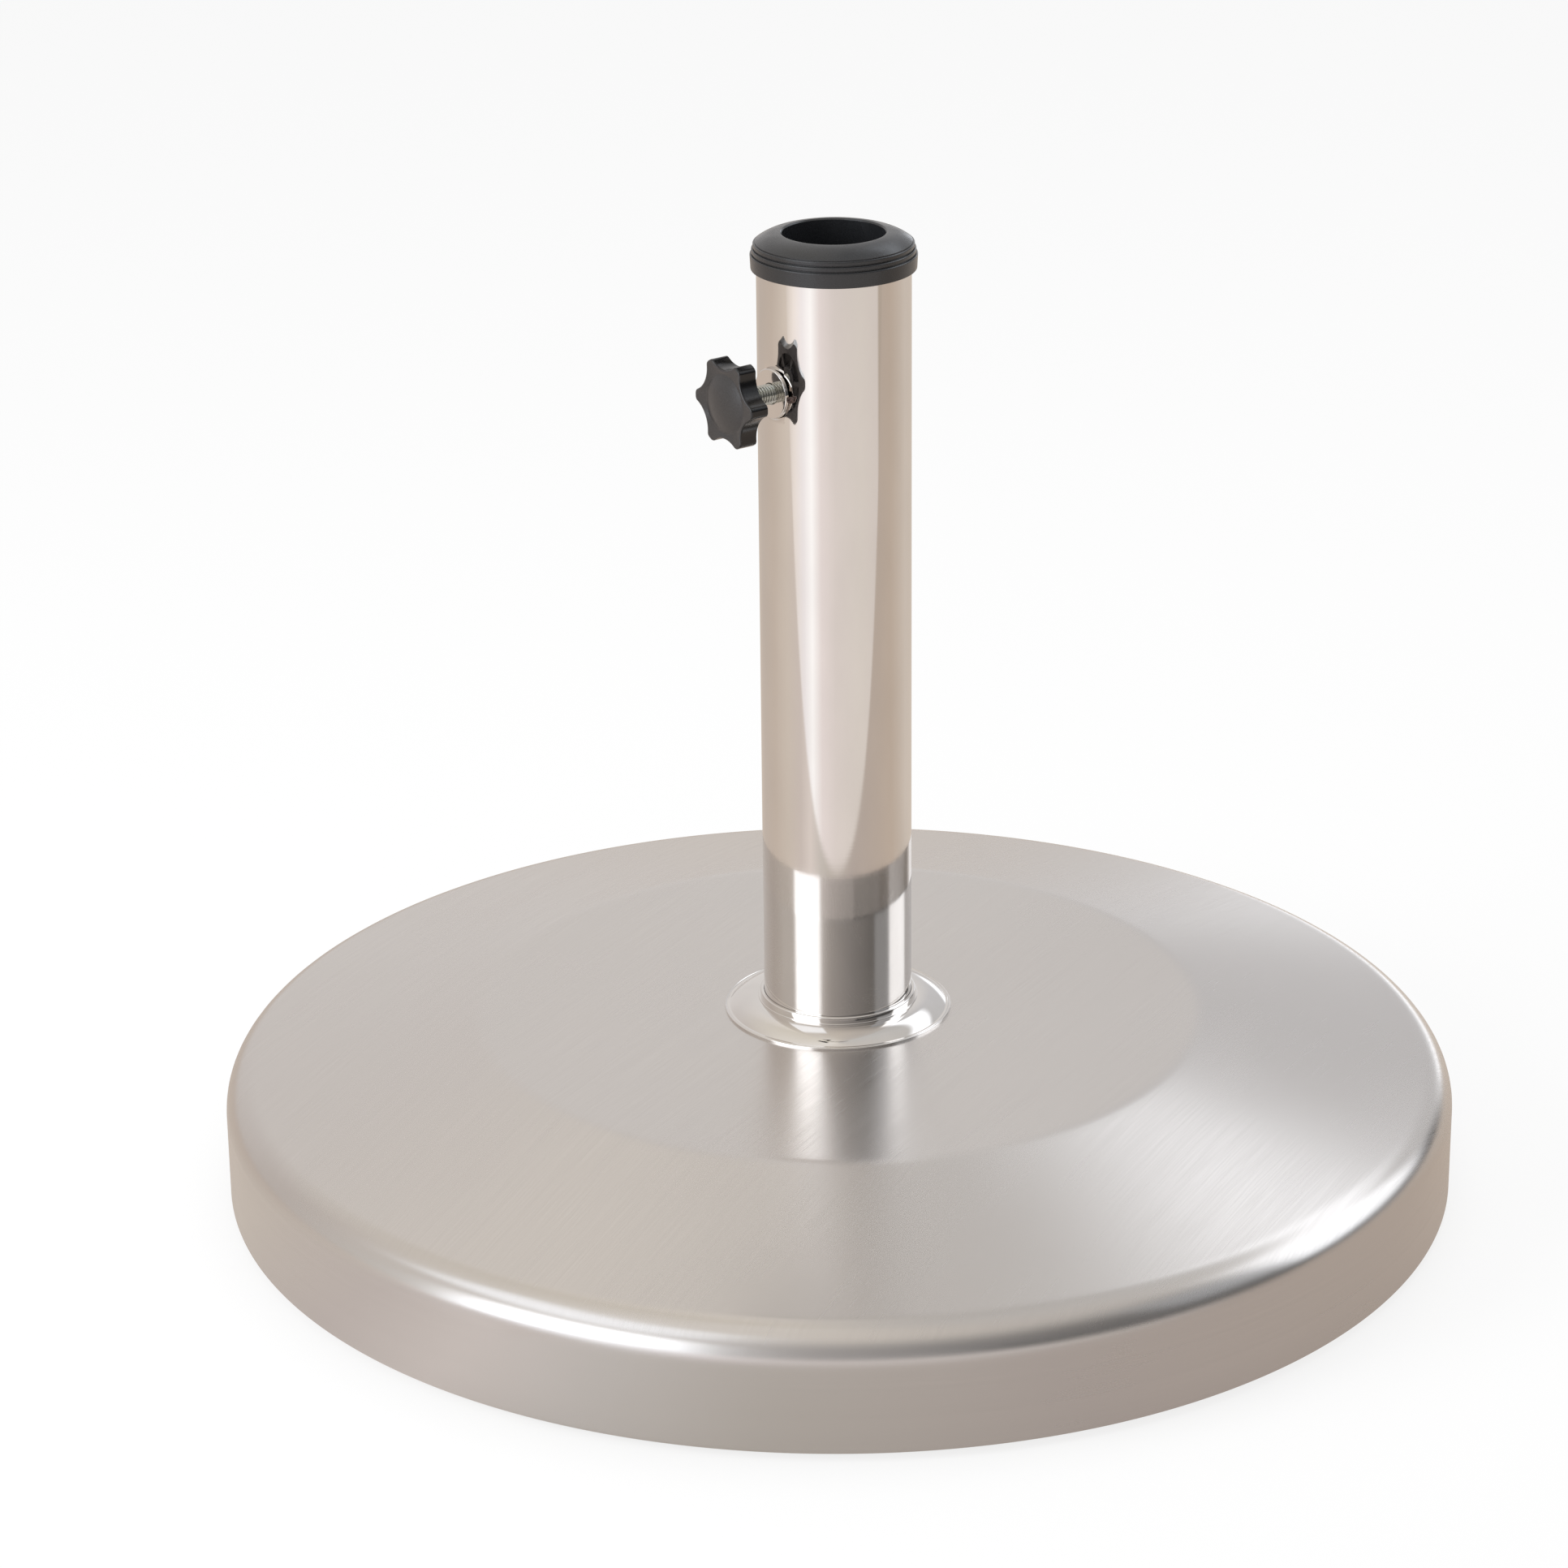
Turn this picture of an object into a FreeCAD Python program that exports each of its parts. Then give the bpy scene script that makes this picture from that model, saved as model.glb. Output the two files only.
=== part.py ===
"""Parasol base: a concrete-filled steel foot with a clamping tube for a garden parasol.

Frame: millimetres, +Z up, origin on the ground under the tube's axis. The clamp screw
points along -Y. Every piece is a body of its own, and its Label names its file in parts/.
"""
import FreeCAD, Part
import math
import os
import re

import Sketcher

# Each size that can be set by itself: alias, value, what it measures.
SIZES = [
    ("base_diameter", 500.0, "steel cover over its skirt"),
    ("cover_height", 68.3, "skirt edge to the flat centre of the cover"),
    ("dish_diameter", 294.0, "flat centre of the cover, to the crease"),
    ("slope_angle", 11.4, "fall of the cone outside the crease, degrees"),
    ("crease_radius", 30.0, "soft bend between flat centre and cone"),
    ("shoulder_radius", 15.0, "bend from the cone into the skirt"),
    ("cover_sheet", 0.8, "thickness of the steel cover"),
    ("hem_width", 7.0, "skirt edge folded inwards under the tray"),
    ("hem_radius", 1.6, "outer bend of that fold"),
    ("tray_fit", 0.3, "gap between tray rim and skirt"),
    ("tray_floor", 2.5, "thickness of the tray's floor and well"),
    ("tray_rim_wall", 2.0, "thickness of the tray's rim"),
    ("tray_rim_height", 26.0, "rim above the tray's underside"),
    ("tray_rib_count", 12.0, "stiffening ribs under the tray"),
    ("tray_rib_height", 1.5, "ribs below the tray's underside"),
    ("tray_rib_width", 2.4, "thickness of one rib"),
    ("tray_rib_end", 22.0, "outer end of a rib, in from the skirt"),
    ("well_diameter", 48.0, "hollow under the tray for the bolt head"),
    ("well_depth", 14.0, "depth of that hollow"),
    ("ballast_fit", 0.3, "gap between concrete and what is cast round it"),
    ("foot_count", 6.0, "rubber feet"),
    ("foot_reach", 3.0, "feet below the skirt edge"),
    ("foot_diameter", 36.0, "rubber foot at its top"),
    ("foot_taper", 2.0, "foot radius lost towards the ground"),
    ("foot_inset", 28.0, "middle of a foot, in from the skirt"),
    ("foot_fit", 0.3, "gap round a foot in its socket"),
    ("socket_depth", 2.2, "socket that holds a foot"),
    ("boss_diameter", 12.0, "screw boss above a foot"),
    ("boss_height", 13.0, "screw boss above its socket"),
    ("foot_screw_diameter", 4.0, "screw that holds a foot"),
    ("foot_screw_length", 13.0, "that screw above its head"),
    ("foot_screw_head", 8.0, "its countersunk head"),
    ("foot_screw_sink", 1.2, "head up from the ground"),
    ("screw_bite_fit", 0.05, "gap round a screw shank in its hole"),
    ("bolt_diameter", 12.0, "anchor bolt"),
    ("bolt_length", 80.0, "anchor bolt under its head"),
    ("bolt_head_width", 19.0, "its head and nut across flats"),
    ("bolt_head_height", 7.5, "its head"),
    ("bolt_passage", 1.0, "gap round the bolt in what it passes through"),
    ("anchor_nut_height", 10.8, "nut welded on the tube's end plate"),
    ("washer_diameter", 44.0, "large washer under the tray"),
    ("washer_thickness", 3.0, "large washer"),
    ("spring_washer_diameter", 21.1, "split washer under the head"),
    ("spring_washer_thickness", 2.5, "split washer"),
    ("spring_washer_split", 1.6, "its slot"),
    ("thread_fit", 0.08, "gap between a screw and its nut"),
    ("plate_thickness", 6.0, "end plate in the foot of the tube"),
    ("plate_fit", 0.1, "gap round the end plate before it is welded"),
    ("tube_diameter", 60.0, "polished tube"),
    ("tube_wall", 1.5, "its wall"),
    ("tube_length", 318.0, "its length"),
    ("rosette_diameter", 92.0, "pressed ring round the tube's foot"),
    ("rosette_sheet", 0.9, "its sheet"),
    ("rosette_lip", 2.0, "flat edge of the ring"),
    ("rosette_rise", 4.0, "hollow flank from the lip to the step"),
    ("rosette_step", 0.5, "small step above the flank"),
    ("rosette_neck", 2.4, "neck above the step"),
    ("rosette_neck_wall", 1.4, "neck's thickness at the tube"),
    ("rosette_shelf", 0.9, "width of the step outside the neck"),
    ("rosette_fit", 0.15, "gap between neck and tube"),
    ("clamp_drop", 53.0, "screw axis below the tube's top"),
    ("nut_flange_diameter", 19.6, "round flange of the clamp nut"),
    ("nut_flange_thickness", 1.5, "that flange"),
    ("nut_barrel_diameter", 12.0, "barrel of the clamp nut through the wall"),
    ("nut_barrel_length", 9.0, "barrel behind the flange"),
    ("nut_barrel_fit", 0.1, "gap round the barrel in the tube wall"),
    ("screw_diameter", 8.0, "clamp screw"),
    ("screw_shown", 14.5, "screw between the flange and the knob at rest"),
    ("screw_spigot_diameter", 4.0, "pin at the screw's end that holds the pad"),
    ("screw_spigot_length", 2.4, "that pin"),
    ("screw_chamfer", 0.9, "chamfer at the screw's end"),
    ("pad_diameter", 6.2, "nylon pad on the screw's end"),
    ("pad_length", 4.2, "pad from its back to its tip"),
    ("pad_fit", 0.2, "gap between pad and screw end"),
    ("pad_setback", 0.5, "pad's tip back from the pole space"),
    ("pad_crown", 0.6, "rounding of the pad's tip"),
    ("knob_diameter", 36.0, "star knob over its lobes"),
    ("knob_root_diameter", 27.6, "star knob between its lobes"),
    ("knob_lobes", 6.0, "lobes"),
    ("knob_flute_radius", 11.0, "hollow between two lobes"),
    ("knob_tip_rounding", 2.0, "corner of a lobe"),
    ("knob_thickness", 8.0, "star knob's rim"),
    ("knob_edge_rounding", 0.7, "edge of the front face"),
    ("knob_dome_diameter", 23.0, "raised dome on the front"),
    ("knob_dome_height", 1.5, "that dome"),
    ("knob_front_wall", 2.6, "plastic in front of the hollow back"),
    ("knob_side_wall", 2.0, "plastic between hollow back and flutes"),
    ("knob_hub_diameter", 13.0, "hub round the screw"),
    ("knob_rib_width", 1.5, "ribs from hub to side wall"),
    ("moulded_fit", 0.02, "gap round the screw in the hub"),
    ("bore_diameter", 40.0, "pole bore in the cap"),
    ("sleeve_wall", 2.0, "guide sleeve round the bore"),
    ("sleeve_length", 39.0, "guide sleeve below the tube's top"),
    ("plug_length", 24.0, "outer sleeve inside the tube"),
    ("plug_wall", 1.8, "its wall"),
    ("cap_fit", 0.3, "gap between cap and tube"),
    ("cap_crown", 6.0, "cap above the tube's top"),
    ("cap_dome_radius", 20.0, "curve of the cap's top"),
    ("cap_dome_edge", 2.3, "edge of that curve above the tube's top"),
    ("cap_dome_overhang", 0.4, "edge of that curve beyond the tube"),
    ("cap_bead_overhang", 1.2, "upper bead beyond the tube"),
    ("cap_bead_step", 0.6, "lower bead and band, each beyond the last"),
    ("cap_bead_height", 1.7, "one bead"),
    ("cap_groove", 0.4, "groove between two beads"),
    ("cap_skirt", 8.3, "band's lower edge below the tube's top"),
    ("cap_skirt_draft", 0.3, "band drawn in at its lower edge"),
    ("cap_ceiling", 2.0, "hollow between the sleeves above the tube's top"),
    ("cap_rib_count", 6.0, "ribs between the two sleeves"),
    ("cap_rib_width", 1.6, "one of these ribs"),
    ("cap_mouth_rounding", 0.7, "edge of the bore"),
]

# Places that several pieces share, written with the aliases above.
BASE_R = "(base_diameter / 2)"
TUBE_R = "(tube_diameter / 2)"
TUBE_BORE_R = "(tube_diameter / 2 - tube_wall)"
BORE_R = "(bore_diameter / 2)"
COVER_TOP = "(foot_reach + cover_height)"
CREASE_R = "(dish_diameter / 2)"
TRAY_BELOW = "(foot_reach + cover_sheet)"
TRAY_INSIDE = f"({TRAY_BELOW} + tray_floor)"
TRAY_R = f"({BASE_R} - cover_sheet - tray_fit)"
WELL_ROOF = f"({TRAY_BELOW} + well_depth)"
FOOT_CIRCLE = f"({BASE_R} - foot_inset)"
FOOT_TOP = f"({TRAY_BELOW} + socket_depth)"
PASSAGE_R = "(bolt_diameter / 2 + bolt_passage)"
HEAD_TOP = f"({WELL_ROOF} - washer_thickness - spring_washer_thickness)"
TUBE_TOP = f"({COVER_TOP} + tube_length)"
CLAMP_HEIGHT = f"({TUBE_TOP} - clamp_drop)"
KNOB_BACK = f"({TUBE_R} + nut_flange_thickness + screw_shown)"
PAD_TIP = f"({BORE_R} + pad_setback)"
SCREW_LENGTH = f"({KNOB_BACK} - {PAD_TIP} - pad_length - pad_fit)"
HUB_DEPTH = "(knob_thickness - knob_front_wall)"

doc = FreeCAD.newDocument("parasol_base")
sheet = doc.addObject("Spreadsheet::Sheet", "Sizes")
for row, (alias, size, meaning) in enumerate(SIZES, 1):
    sheet.set(f"A{row}", meaning)
    sheet.set(f"B{row}", str(size))
    sheet.setAlias(f"B{row}", alias)
doc.recompute()
ALIASES = {alias for alias, _, _ in SIZES}


def bound(text):
    """Write each alias in an expression as a cell of the sheet."""
    return re.sub(r"[a-z]\w*", lambda word: "Sizes." + word[0] if word[0] in ALIASES else word[0], text)


def value(text):
    """Number that an expression has now."""
    result = sheet.evalExpression(bound(text))
    return float(getattr(result, "Value", result))


def new_body(label):
    """Empty body named after its piece."""
    body = doc.addObject("PartDesign::Body", label)
    body.Label = label
    return body


def new_sketch(body, name, role):
    """Sketch on one of the body's own origin planes."""
    sketch = body.newObject("Sketcher::SketchObject", name)
    plane = next(item for item in body.Origin.OriginFeatures if item.Role == role)
    sketch.AttachmentSupport = (plane, [""])
    sketch.MapMode = "FlatFace"
    return sketch


def pin(sketch, element, corner, place):
    """Hold one point of a sketch at the two expressions of its place."""
    for kind, text in zip(("DistanceX", "DistanceY"), place):
        index = sketch.addConstraint(Sketcher.Constraint(kind, -1, 1, element, corner, value(text)))
        sketch.setExpression(f"Constraints[{index}]", bound(text))


def arc_between(start, end, radius):
    """Arc from start to end, on the left of its chord if radius is positive, else on the right."""
    half = (end - start) * 0.5
    side = FreeCAD.Vector(-half.y, half.x, 0).normalize() * math.copysign(1, radius)
    rise = abs(radius) - math.sqrt(radius ** 2 - half.Length ** 2)
    return Part.Arc(start, start + half + side * rise, end)


def draw(sketch, corners):
    """Closed outline through corners (across, up) or (across, up, arc radius, side) to the next.

    Side is 1 where the arc bulges to the left of its way and -1 where it bulges to the right.
    """
    points = [FreeCAD.Vector(value(corner[0]), value(corner[1]), 0) for corner in corners]
    for index, corner in enumerate(corners):
        start, end = points[index], points[(index + 1) % len(points)]
        if len(corner) == 2:
            sketch.addGeometry(Part.LineSegment(start, end), False)
            continue
        sketch.addGeometry(arc_between(start, end, value(corner[2]) * corner[3]), False)
    for index, corner in enumerate(corners):
        flipped = len(corner) == 4 and corner[3] == 1
        pin(sketch, index, 2 if flipped else 1, corner[:2])
        follower = corners[(index + 1) % len(corners)]
        turned = len(follower) == 4 and follower[3] == 1
        ends = (index, 1 if flipped else 2, (index + 1) % len(corners), 2 if turned else 1)
        sketch.addConstraint(Sketcher.Constraint("Coincident", *ends))
        if len(corner) == 4:
            radius = sketch.addConstraint(Sketcher.Constraint("Radius", index, value(corner[2])))
            sketch.setExpression(f"Constraints[{radius}]", bound(corner[2]))


def circle(sketch, radius, across="0", up="0"):
    """Circle held by its centre and radius."""
    centre = FreeCAD.Vector(value(across), value(up), 0)
    index = sketch.addGeometry(Part.Circle(centre, FreeCAD.Vector(0, 0, 1), value(radius)), False)
    pin(sketch, index, 3, (across, up))
    constraint = sketch.addConstraint(Sketcher.Constraint("Radius", index, value(radius)))
    sketch.setExpression(f"Constraints[{constraint}]", bound(radius))


def hexagon(sketch, flats):
    """Six corners round the middle, at the width across flats."""
    reach = f"({flats} / 2 / cos(30))"
    draw(sketch, [(f"{reach} * cos({60 * k})", f"{reach} * sin({60 * k})") for k in range(6)])


def revolve(body, name, corners, kind="Revolution", axis="V_Axis"):
    """Outline in the XZ plane, turned about the body's Z axis."""
    sketch = new_sketch(body, name + "Profile", "XZ_Plane")
    draw(sketch, corners)
    feature = body.newObject("PartDesign::" + kind, name)
    feature.Profile = sketch
    feature.ReferenceAxis = (sketch, [axis])
    feature.Angle = 360
    doc.recompute()
    return feature


def sweep_up(body, name, sketch, length, kind="Pad", start="0", down=False, middle=False):
    """Pad or pocket of a sketch, from start along the body's Z axis for length."""
    sketch.AttachmentOffset.Base = FreeCAD.Vector(0, 0, 0)
    if start != "0":
        sketch.setExpression(".AttachmentOffset.Base.z", bound(start))
    feature = body.newObject("PartDesign::" + kind, name)
    feature.Profile = sketch
    feature.Type = "Length"
    feature.setExpression("Length", bound(length))
    feature.Midplane = middle
    feature.Reversed = down
    doc.recompute()
    return feature


def ring(body, name, outer, inner, length, start="0"):
    """Disc with a round hole, standing on start."""
    sketch = new_sketch(body, name + "Rings", "XY_Plane")
    circle(sketch, outer)
    if inner != "0":
        circle(sketch, inner)
    return sweep_up(body, name, sketch, length, start=start)


def polar(body, name, features, count):
    """Copies of features, evenly round the body's Z axis."""
    pattern = body.newObject("PartDesign::PolarPattern", name)
    pattern.Originals = features
    pattern.Axis = (next(item for item in body.Origin.OriginFeatures if item.Role == "Z_Axis"), [""])
    pattern.Angle = 360
    pattern.setExpression("Occurrences", bound(count))
    body.Tip = pattern
    doc.recompute()
    return pattern


def round_edges(body, name, radius, picked, kind="Fillet"):
    """Fillet or chamfer on the edges of the body's shape that picked accepts."""
    base = body.Tip
    names = [f"Edge{index}" for index, edge in enumerate(base.Shape.Edges, 1) if picked(edge)]
    feature = body.newObject("PartDesign::" + kind, name)
    feature.Base = (base, names)
    feature.setExpression("Radius" if kind == "Fillet" else "Size", bound(radius))
    doc.recompute()
    return feature


def at_ring(radius, height):
    """Test for the circular edges of that radius and height round the Z axis."""
    def picked(edge):
        curve = edge.Curve
        if not isinstance(curve, Part.Circle):
            return False
        return abs(curve.Radius - value(radius)) < 1e-4 and abs(curve.Center.z - value(height)) < 1e-4
    return picked


def place(body, height, forward):
    """Stand the body's Z axis along -Y, forward from the tube's axis at that height."""
    body.Placement = FreeCAD.Placement(FreeCAD.Vector(), FreeCAD.Rotation(FreeCAD.Vector(1, 0, 0), 90))
    body.setExpression(".Placement.Base.y", bound(f"-{forward}"))
    body.setExpression(".Placement.Base.z", bound(height))


def slope_height(radius):
    """Height of the cover's outside where its cone, carried on, has that radius."""
    return f"({COVER_TOP} - ({radius} - {CREASE_R}) * tan(slope_angle))"


def base_cover():
    """Pressed steel cover: flat centre, cone, rounded shoulder, skirt and inward hem."""
    body = new_body("base_cover")
    inside = f"({BASE_R} - cover_sheet)"
    below_slope = "cover_sheet / cos(slope_angle)"
    inner_corner = f"({slope_height(inside)} - {below_slope})"
    inner_crease = f"({CREASE_R} - cover_sheet * tan(slope_angle / 2))"
    revolve(body, "Sheet", [
        (PASSAGE_R, COVER_TOP),
        (CREASE_R, COVER_TOP),
        (BASE_R, slope_height(BASE_R)),
        (BASE_R, "foot_reach"),
        (f"{BASE_R} - hem_width", "foot_reach"),
        (f"{BASE_R} - hem_width", TRAY_BELOW),
        (inside, TRAY_BELOW),
        (inside, inner_corner),
        (inner_crease, f"{COVER_TOP} - cover_sheet"),
        (PASSAGE_R, f"{COVER_TOP} - cover_sheet"),
    ])
    round_edges(body, "Shoulder", "shoulder_radius", at_ring(BASE_R, slope_height(BASE_R)))
    round_edges(body, "ShoulderInside", "shoulder_radius - cover_sheet", at_ring(inside, inner_corner))
    round_edges(body, "Crease", "crease_radius", at_ring(CREASE_R, COVER_TOP))
    round_edges(body, "CreaseInside", "crease_radius - cover_sheet",
                at_ring(inner_crease, f"{COVER_TOP} - cover_sheet"))
    round_edges(body, "Hem", "hem_radius", at_ring(BASE_R, "foot_reach"))
    round_edges(body, "HemInside", "hem_radius - cover_sheet", at_ring(inside, TRAY_BELOW))
    return body


def ballast():
    """Concrete slab cast into the tray, with room for the bolt, the well and the screw bosses."""
    body = new_body("ballast")
    outside = f"({TRAY_R} - tray_rim_wall - ballast_fit)"
    below_slope = "((cover_sheet + ballast_fit) / cos(slope_angle))"
    top = f"({COVER_TOP} - cover_sheet)"
    crease = f"({CREASE_R} + ({top} - {COVER_TOP} + {below_slope}) / -tan(slope_angle))"
    corner = f"({slope_height(outside)} - {below_slope})"
    well_wall = "(well_diameter / 2 + tray_floor + ballast_fit)"
    well_top = f"({WELL_ROOF} + tray_floor)"
    revolve(body, "Slab", [
        (PASSAGE_R, well_top),
        (well_wall, well_top),
        (well_wall, TRAY_INSIDE),
        (outside, TRAY_INSIDE),
        (outside, corner),
        (crease, top),
        (PASSAGE_R, top),
    ])
    round_edges(body, "Shoulder", "shoulder_radius - cover_sheet - tray_rim_wall",
                at_ring(outside, corner))
    round_edges(body, "Crease", "crease_radius", at_ring(crease, top))
    pocket_r = "(foot_diameter / 2 + foot_fit + tray_floor + ballast_fit)"
    pockets = []
    for name, radius, height in (
        ("SocketRoom", pocket_r, f"{FOOT_TOP} + tray_floor - {TRAY_INSIDE}"),
        ("BossRoom", "(boss_diameter / 2 + ballast_fit)",
         f"{FOOT_TOP} + boss_height + ballast_fit - {TRAY_INSIDE}"),
    ):
        sketch = new_sketch(body, name + "Circle", "XY_Plane")
        circle(sketch, radius, FOOT_CIRCLE)
        pockets.append(sweep_up(body, name, sketch, height, "Pocket", TRAY_INSIDE, down=True))
    polar(body, "Rooms", pockets, "foot_count")
    return body


def base_tray():
    """Moulded underside: floor, rim, bolt well, ribs, and a socket and boss for each foot."""
    body = new_body("base_tray")
    rim_in = f"({TRAY_R} - tray_rim_wall)"
    rim_top = f"({TRAY_BELOW} + tray_rim_height)"
    well_r = "(well_diameter / 2)"
    well_top = f"({WELL_ROOF} + tray_floor)"
    revolve(body, "Shell", [
        (PASSAGE_R, WELL_ROOF),
        (well_r, WELL_ROOF),
        (well_r, TRAY_BELOW),
        (TRAY_R, TRAY_BELOW),
        (TRAY_R, rim_top),
        (rim_in, rim_top),
        (rim_in, TRAY_INSIDE),
        (f"{well_r} + tray_floor", TRAY_INSIDE),
        (f"{well_r} + tray_floor", well_top),
        (PASSAGE_R, well_top),
    ])
    round_edges(body, "RimFoot", "hem_radius - cover_sheet + tray_fit", at_ring(TRAY_R, TRAY_BELOW))
    steps = [
        ("SocketWall", "(foot_diameter / 2 + foot_fit + tray_floor)", "Pad", TRAY_BELOW,
         "socket_depth + tray_floor"),
        ("Boss", "(boss_diameter / 2)", "Pad", FOOT_TOP, "boss_height"),
        ("Socket", "(foot_diameter / 2 + foot_fit)", "Pocket", TRAY_BELOW, "socket_depth"),
        ("Pilot", "(foot_screw_diameter / 2 + screw_bite_fit)", "Pocket", TRAY_BELOW,
         "socket_depth + boss_height"),
    ]
    features = []
    for name, radius, kind, start, length in steps:
        sketch = new_sketch(body, name + "Circle", "XY_Plane")
        circle(sketch, radius, FOOT_CIRCLE)
        features.append(sweep_up(body, name, sketch, length, kind, start, down=kind == "Pocket"))
    polar(body, "FootSeats", features, "foot_count")
    sketch = new_sketch(body, "RibOutline", "XY_Plane")
    near, far = f"({well_r} + tray_floor)", f"({BASE_R} - tray_rib_end)"
    turn = "(180 / tray_rib_count)"
    sides = [(near, 1), (far, 1), (far, -1), (near, -1)]
    draw(sketch, [
        (f"{radius} * cos({turn}) - {side} * tray_rib_width / 2 * sin({turn})",
         f"{radius} * sin({turn}) + {side} * tray_rib_width / 2 * cos({turn})") for radius, side in sides])
    rib = sweep_up(body, "Rib", sketch, "tray_rib_height", start=TRAY_BELOW, down=True)
    polar(body, "Ribs", [rib], "tray_rib_count")
    return body


def foot_pad(number):
    """Rubber foot with a countersunk hole, seated in its socket."""
    body = new_body(f"foot_pad_{number}")
    shank = "(foot_screw_diameter / 2 + screw_bite_fit)"
    head = "(foot_screw_head / 2 + screw_bite_fit)"
    cone = f"(foot_screw_sink + {head} - {shank})"
    revolve(body, "Pad", [
        (shank, FOOT_TOP),
        ("foot_diameter / 2", FOOT_TOP),
        ("foot_diameter / 2", "foot_reach"),
        ("foot_diameter / 2 - foot_taper", "0"),
        (head, "0"),
        (head, "foot_screw_sink"),
        (shank, cone),
    ])
    angle = f"({number} * 360 / foot_count)"
    body.setExpression(".Placement.Base.x", bound(f"{FOOT_CIRCLE} * cos({angle})"))
    body.setExpression(".Placement.Base.y", bound(f"{FOOT_CIRCLE} * sin({angle})"))
    return body


def foot_screws():
    """Countersunk screws, one through each foot into its boss."""
    body = new_body("foot_screws")
    body.AllowCompound = True
    head, shank = "(foot_screw_head / 2)", "(foot_screw_diameter / 2)"
    neck = f"(foot_screw_sink + {head} - {shank})"
    tip = "(foot_screw_sink + foot_screw_length)"
    outline = [
        (FOOT_CIRCLE, "foot_screw_sink"),
        (f"{FOOT_CIRCLE} + {head}", "foot_screw_sink"),
        (f"{FOOT_CIRCLE} + {shank}", neck),
        (f"{FOOT_CIRCLE} + {shank}", f"{tip} - {shank}"),
        (FOOT_CIRCLE, tip),
    ]
    sketch = new_sketch(body, "ScrewProfile", "XZ_Plane")
    draw(sketch, outline)
    foot = FreeCAD.Vector(value(FOOT_CIRCLE), 0, 0)
    axis = sketch.addGeometry(Part.LineSegment(foot, foot + FreeCAD.Vector(0, value(tip), 0)), True)
    pin(sketch, axis, 1, (FOOT_CIRCLE, "0"))
    pin(sketch, axis, 2, (FOOT_CIRCLE, tip))
    screw = body.newObject("PartDesign::Revolution", "Screw")
    screw.Profile = sketch
    screw.ReferenceAxis = (sketch, ["Axis0"])
    screw.Angle = 360
    doc.recompute()
    polar(body, "Screws", [screw], "foot_count")
    return body


def trim_corners(body, flats, face, inwards):
    """Turn the corners of a hexagonal head off at 30 degrees at one of its faces."""
    reach, flat = f"({flats} / 2 / cos(30) + 1)", f"({flats} / 2)"
    drop = f"({reach} - {flat}) * tan(30)"
    revolve(body, "Corners" + ("Down" if inwards > 0 else "Up"), [
        (flat, face),
        (reach, f"{face} + {inwards} * {drop}"),
        (reach, face),
    ], kind="Groove")


def anchor_bolt():
    """Hexagon bolt from below that holds the tube down on the base."""
    body = new_body("anchor_bolt")
    head_foot = f"({HEAD_TOP} - bolt_head_height)"
    sketch = new_sketch(body, "HeadHexagon", "XY_Plane")
    hexagon(sketch, "bolt_head_width")
    sweep_up(body, "Head", sketch, "bolt_head_height", start=head_foot)
    trim_corners(body, "bolt_head_width", head_foot, 1)
    ring(body, "Shank", "bolt_diameter / 2", "0", "bolt_length", HEAD_TOP)
    round_edges(body, "Point", "bolt_diameter / 12",
                at_ring("bolt_diameter / 2", f"{HEAD_TOP} + bolt_length"), "Chamfer")
    return body


def anchor_nut():
    """Hexagon nut welded on the end plate, inside the tube."""
    body = new_body("anchor_nut")
    foot = f"({COVER_TOP} + plate_thickness)"
    sketch = new_sketch(body, "Hexagon", "XY_Plane")
    hexagon(sketch, "bolt_head_width")
    circle(sketch, "bolt_diameter / 2 + thread_fit")
    sweep_up(body, "Nut", sketch, "anchor_nut_height", start=foot)
    trim_corners(body, "bolt_head_width", f"({foot} + anchor_nut_height)", -1)
    return body


def anchor_washer():
    """Large washer that spreads the bolt's pull over the roof of the well."""
    body = new_body("anchor_washer")
    ring(body, "Washer", "washer_diameter / 2", PASSAGE_R, "washer_thickness",
         f"{WELL_ROOF} - washer_thickness")
    return body


def anchor_spring_washer():
    """Split washer under the bolt head, drawn flat."""
    body = new_body("anchor_spring_washer")
    bore = "(bolt_diameter / 2 + bolt_passage / 3)"
    ring(body, "Coil", "spring_washer_diameter / 2", bore, "spring_washer_thickness", HEAD_TOP)
    sketch = new_sketch(body, "SplitOutline", "XZ_Plane")
    low, high = HEAD_TOP, f"({HEAD_TOP} + spring_washer_thickness)"
    lean = "spring_washer_thickness / 2"
    draw(sketch, [
        ("-spring_washer_split / 2 - " + lean, low),
        ("spring_washer_split / 2 - " + lean, low),
        ("spring_washer_split / 2 + " + lean, high),
        ("-spring_washer_split / 2 + " + lean, high),
    ])
    cut = sweep_up(body, "Split", sketch, "spring_washer_diameter / 2", "Pocket")
    assert cut.Shape.Volume < cut.BaseFeature.Shape.Volume
    return body


def tube_foot_plate():
    """Round plate welded into the foot of the tube, bored for the bolt."""
    body = new_body("tube_foot_plate")
    ring(body, "Plate", f"{TUBE_BORE_R} - plate_fit", "bolt_diameter / 2 + thread_fit",
         "plate_thickness", COVER_TOP)
    return body


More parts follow.
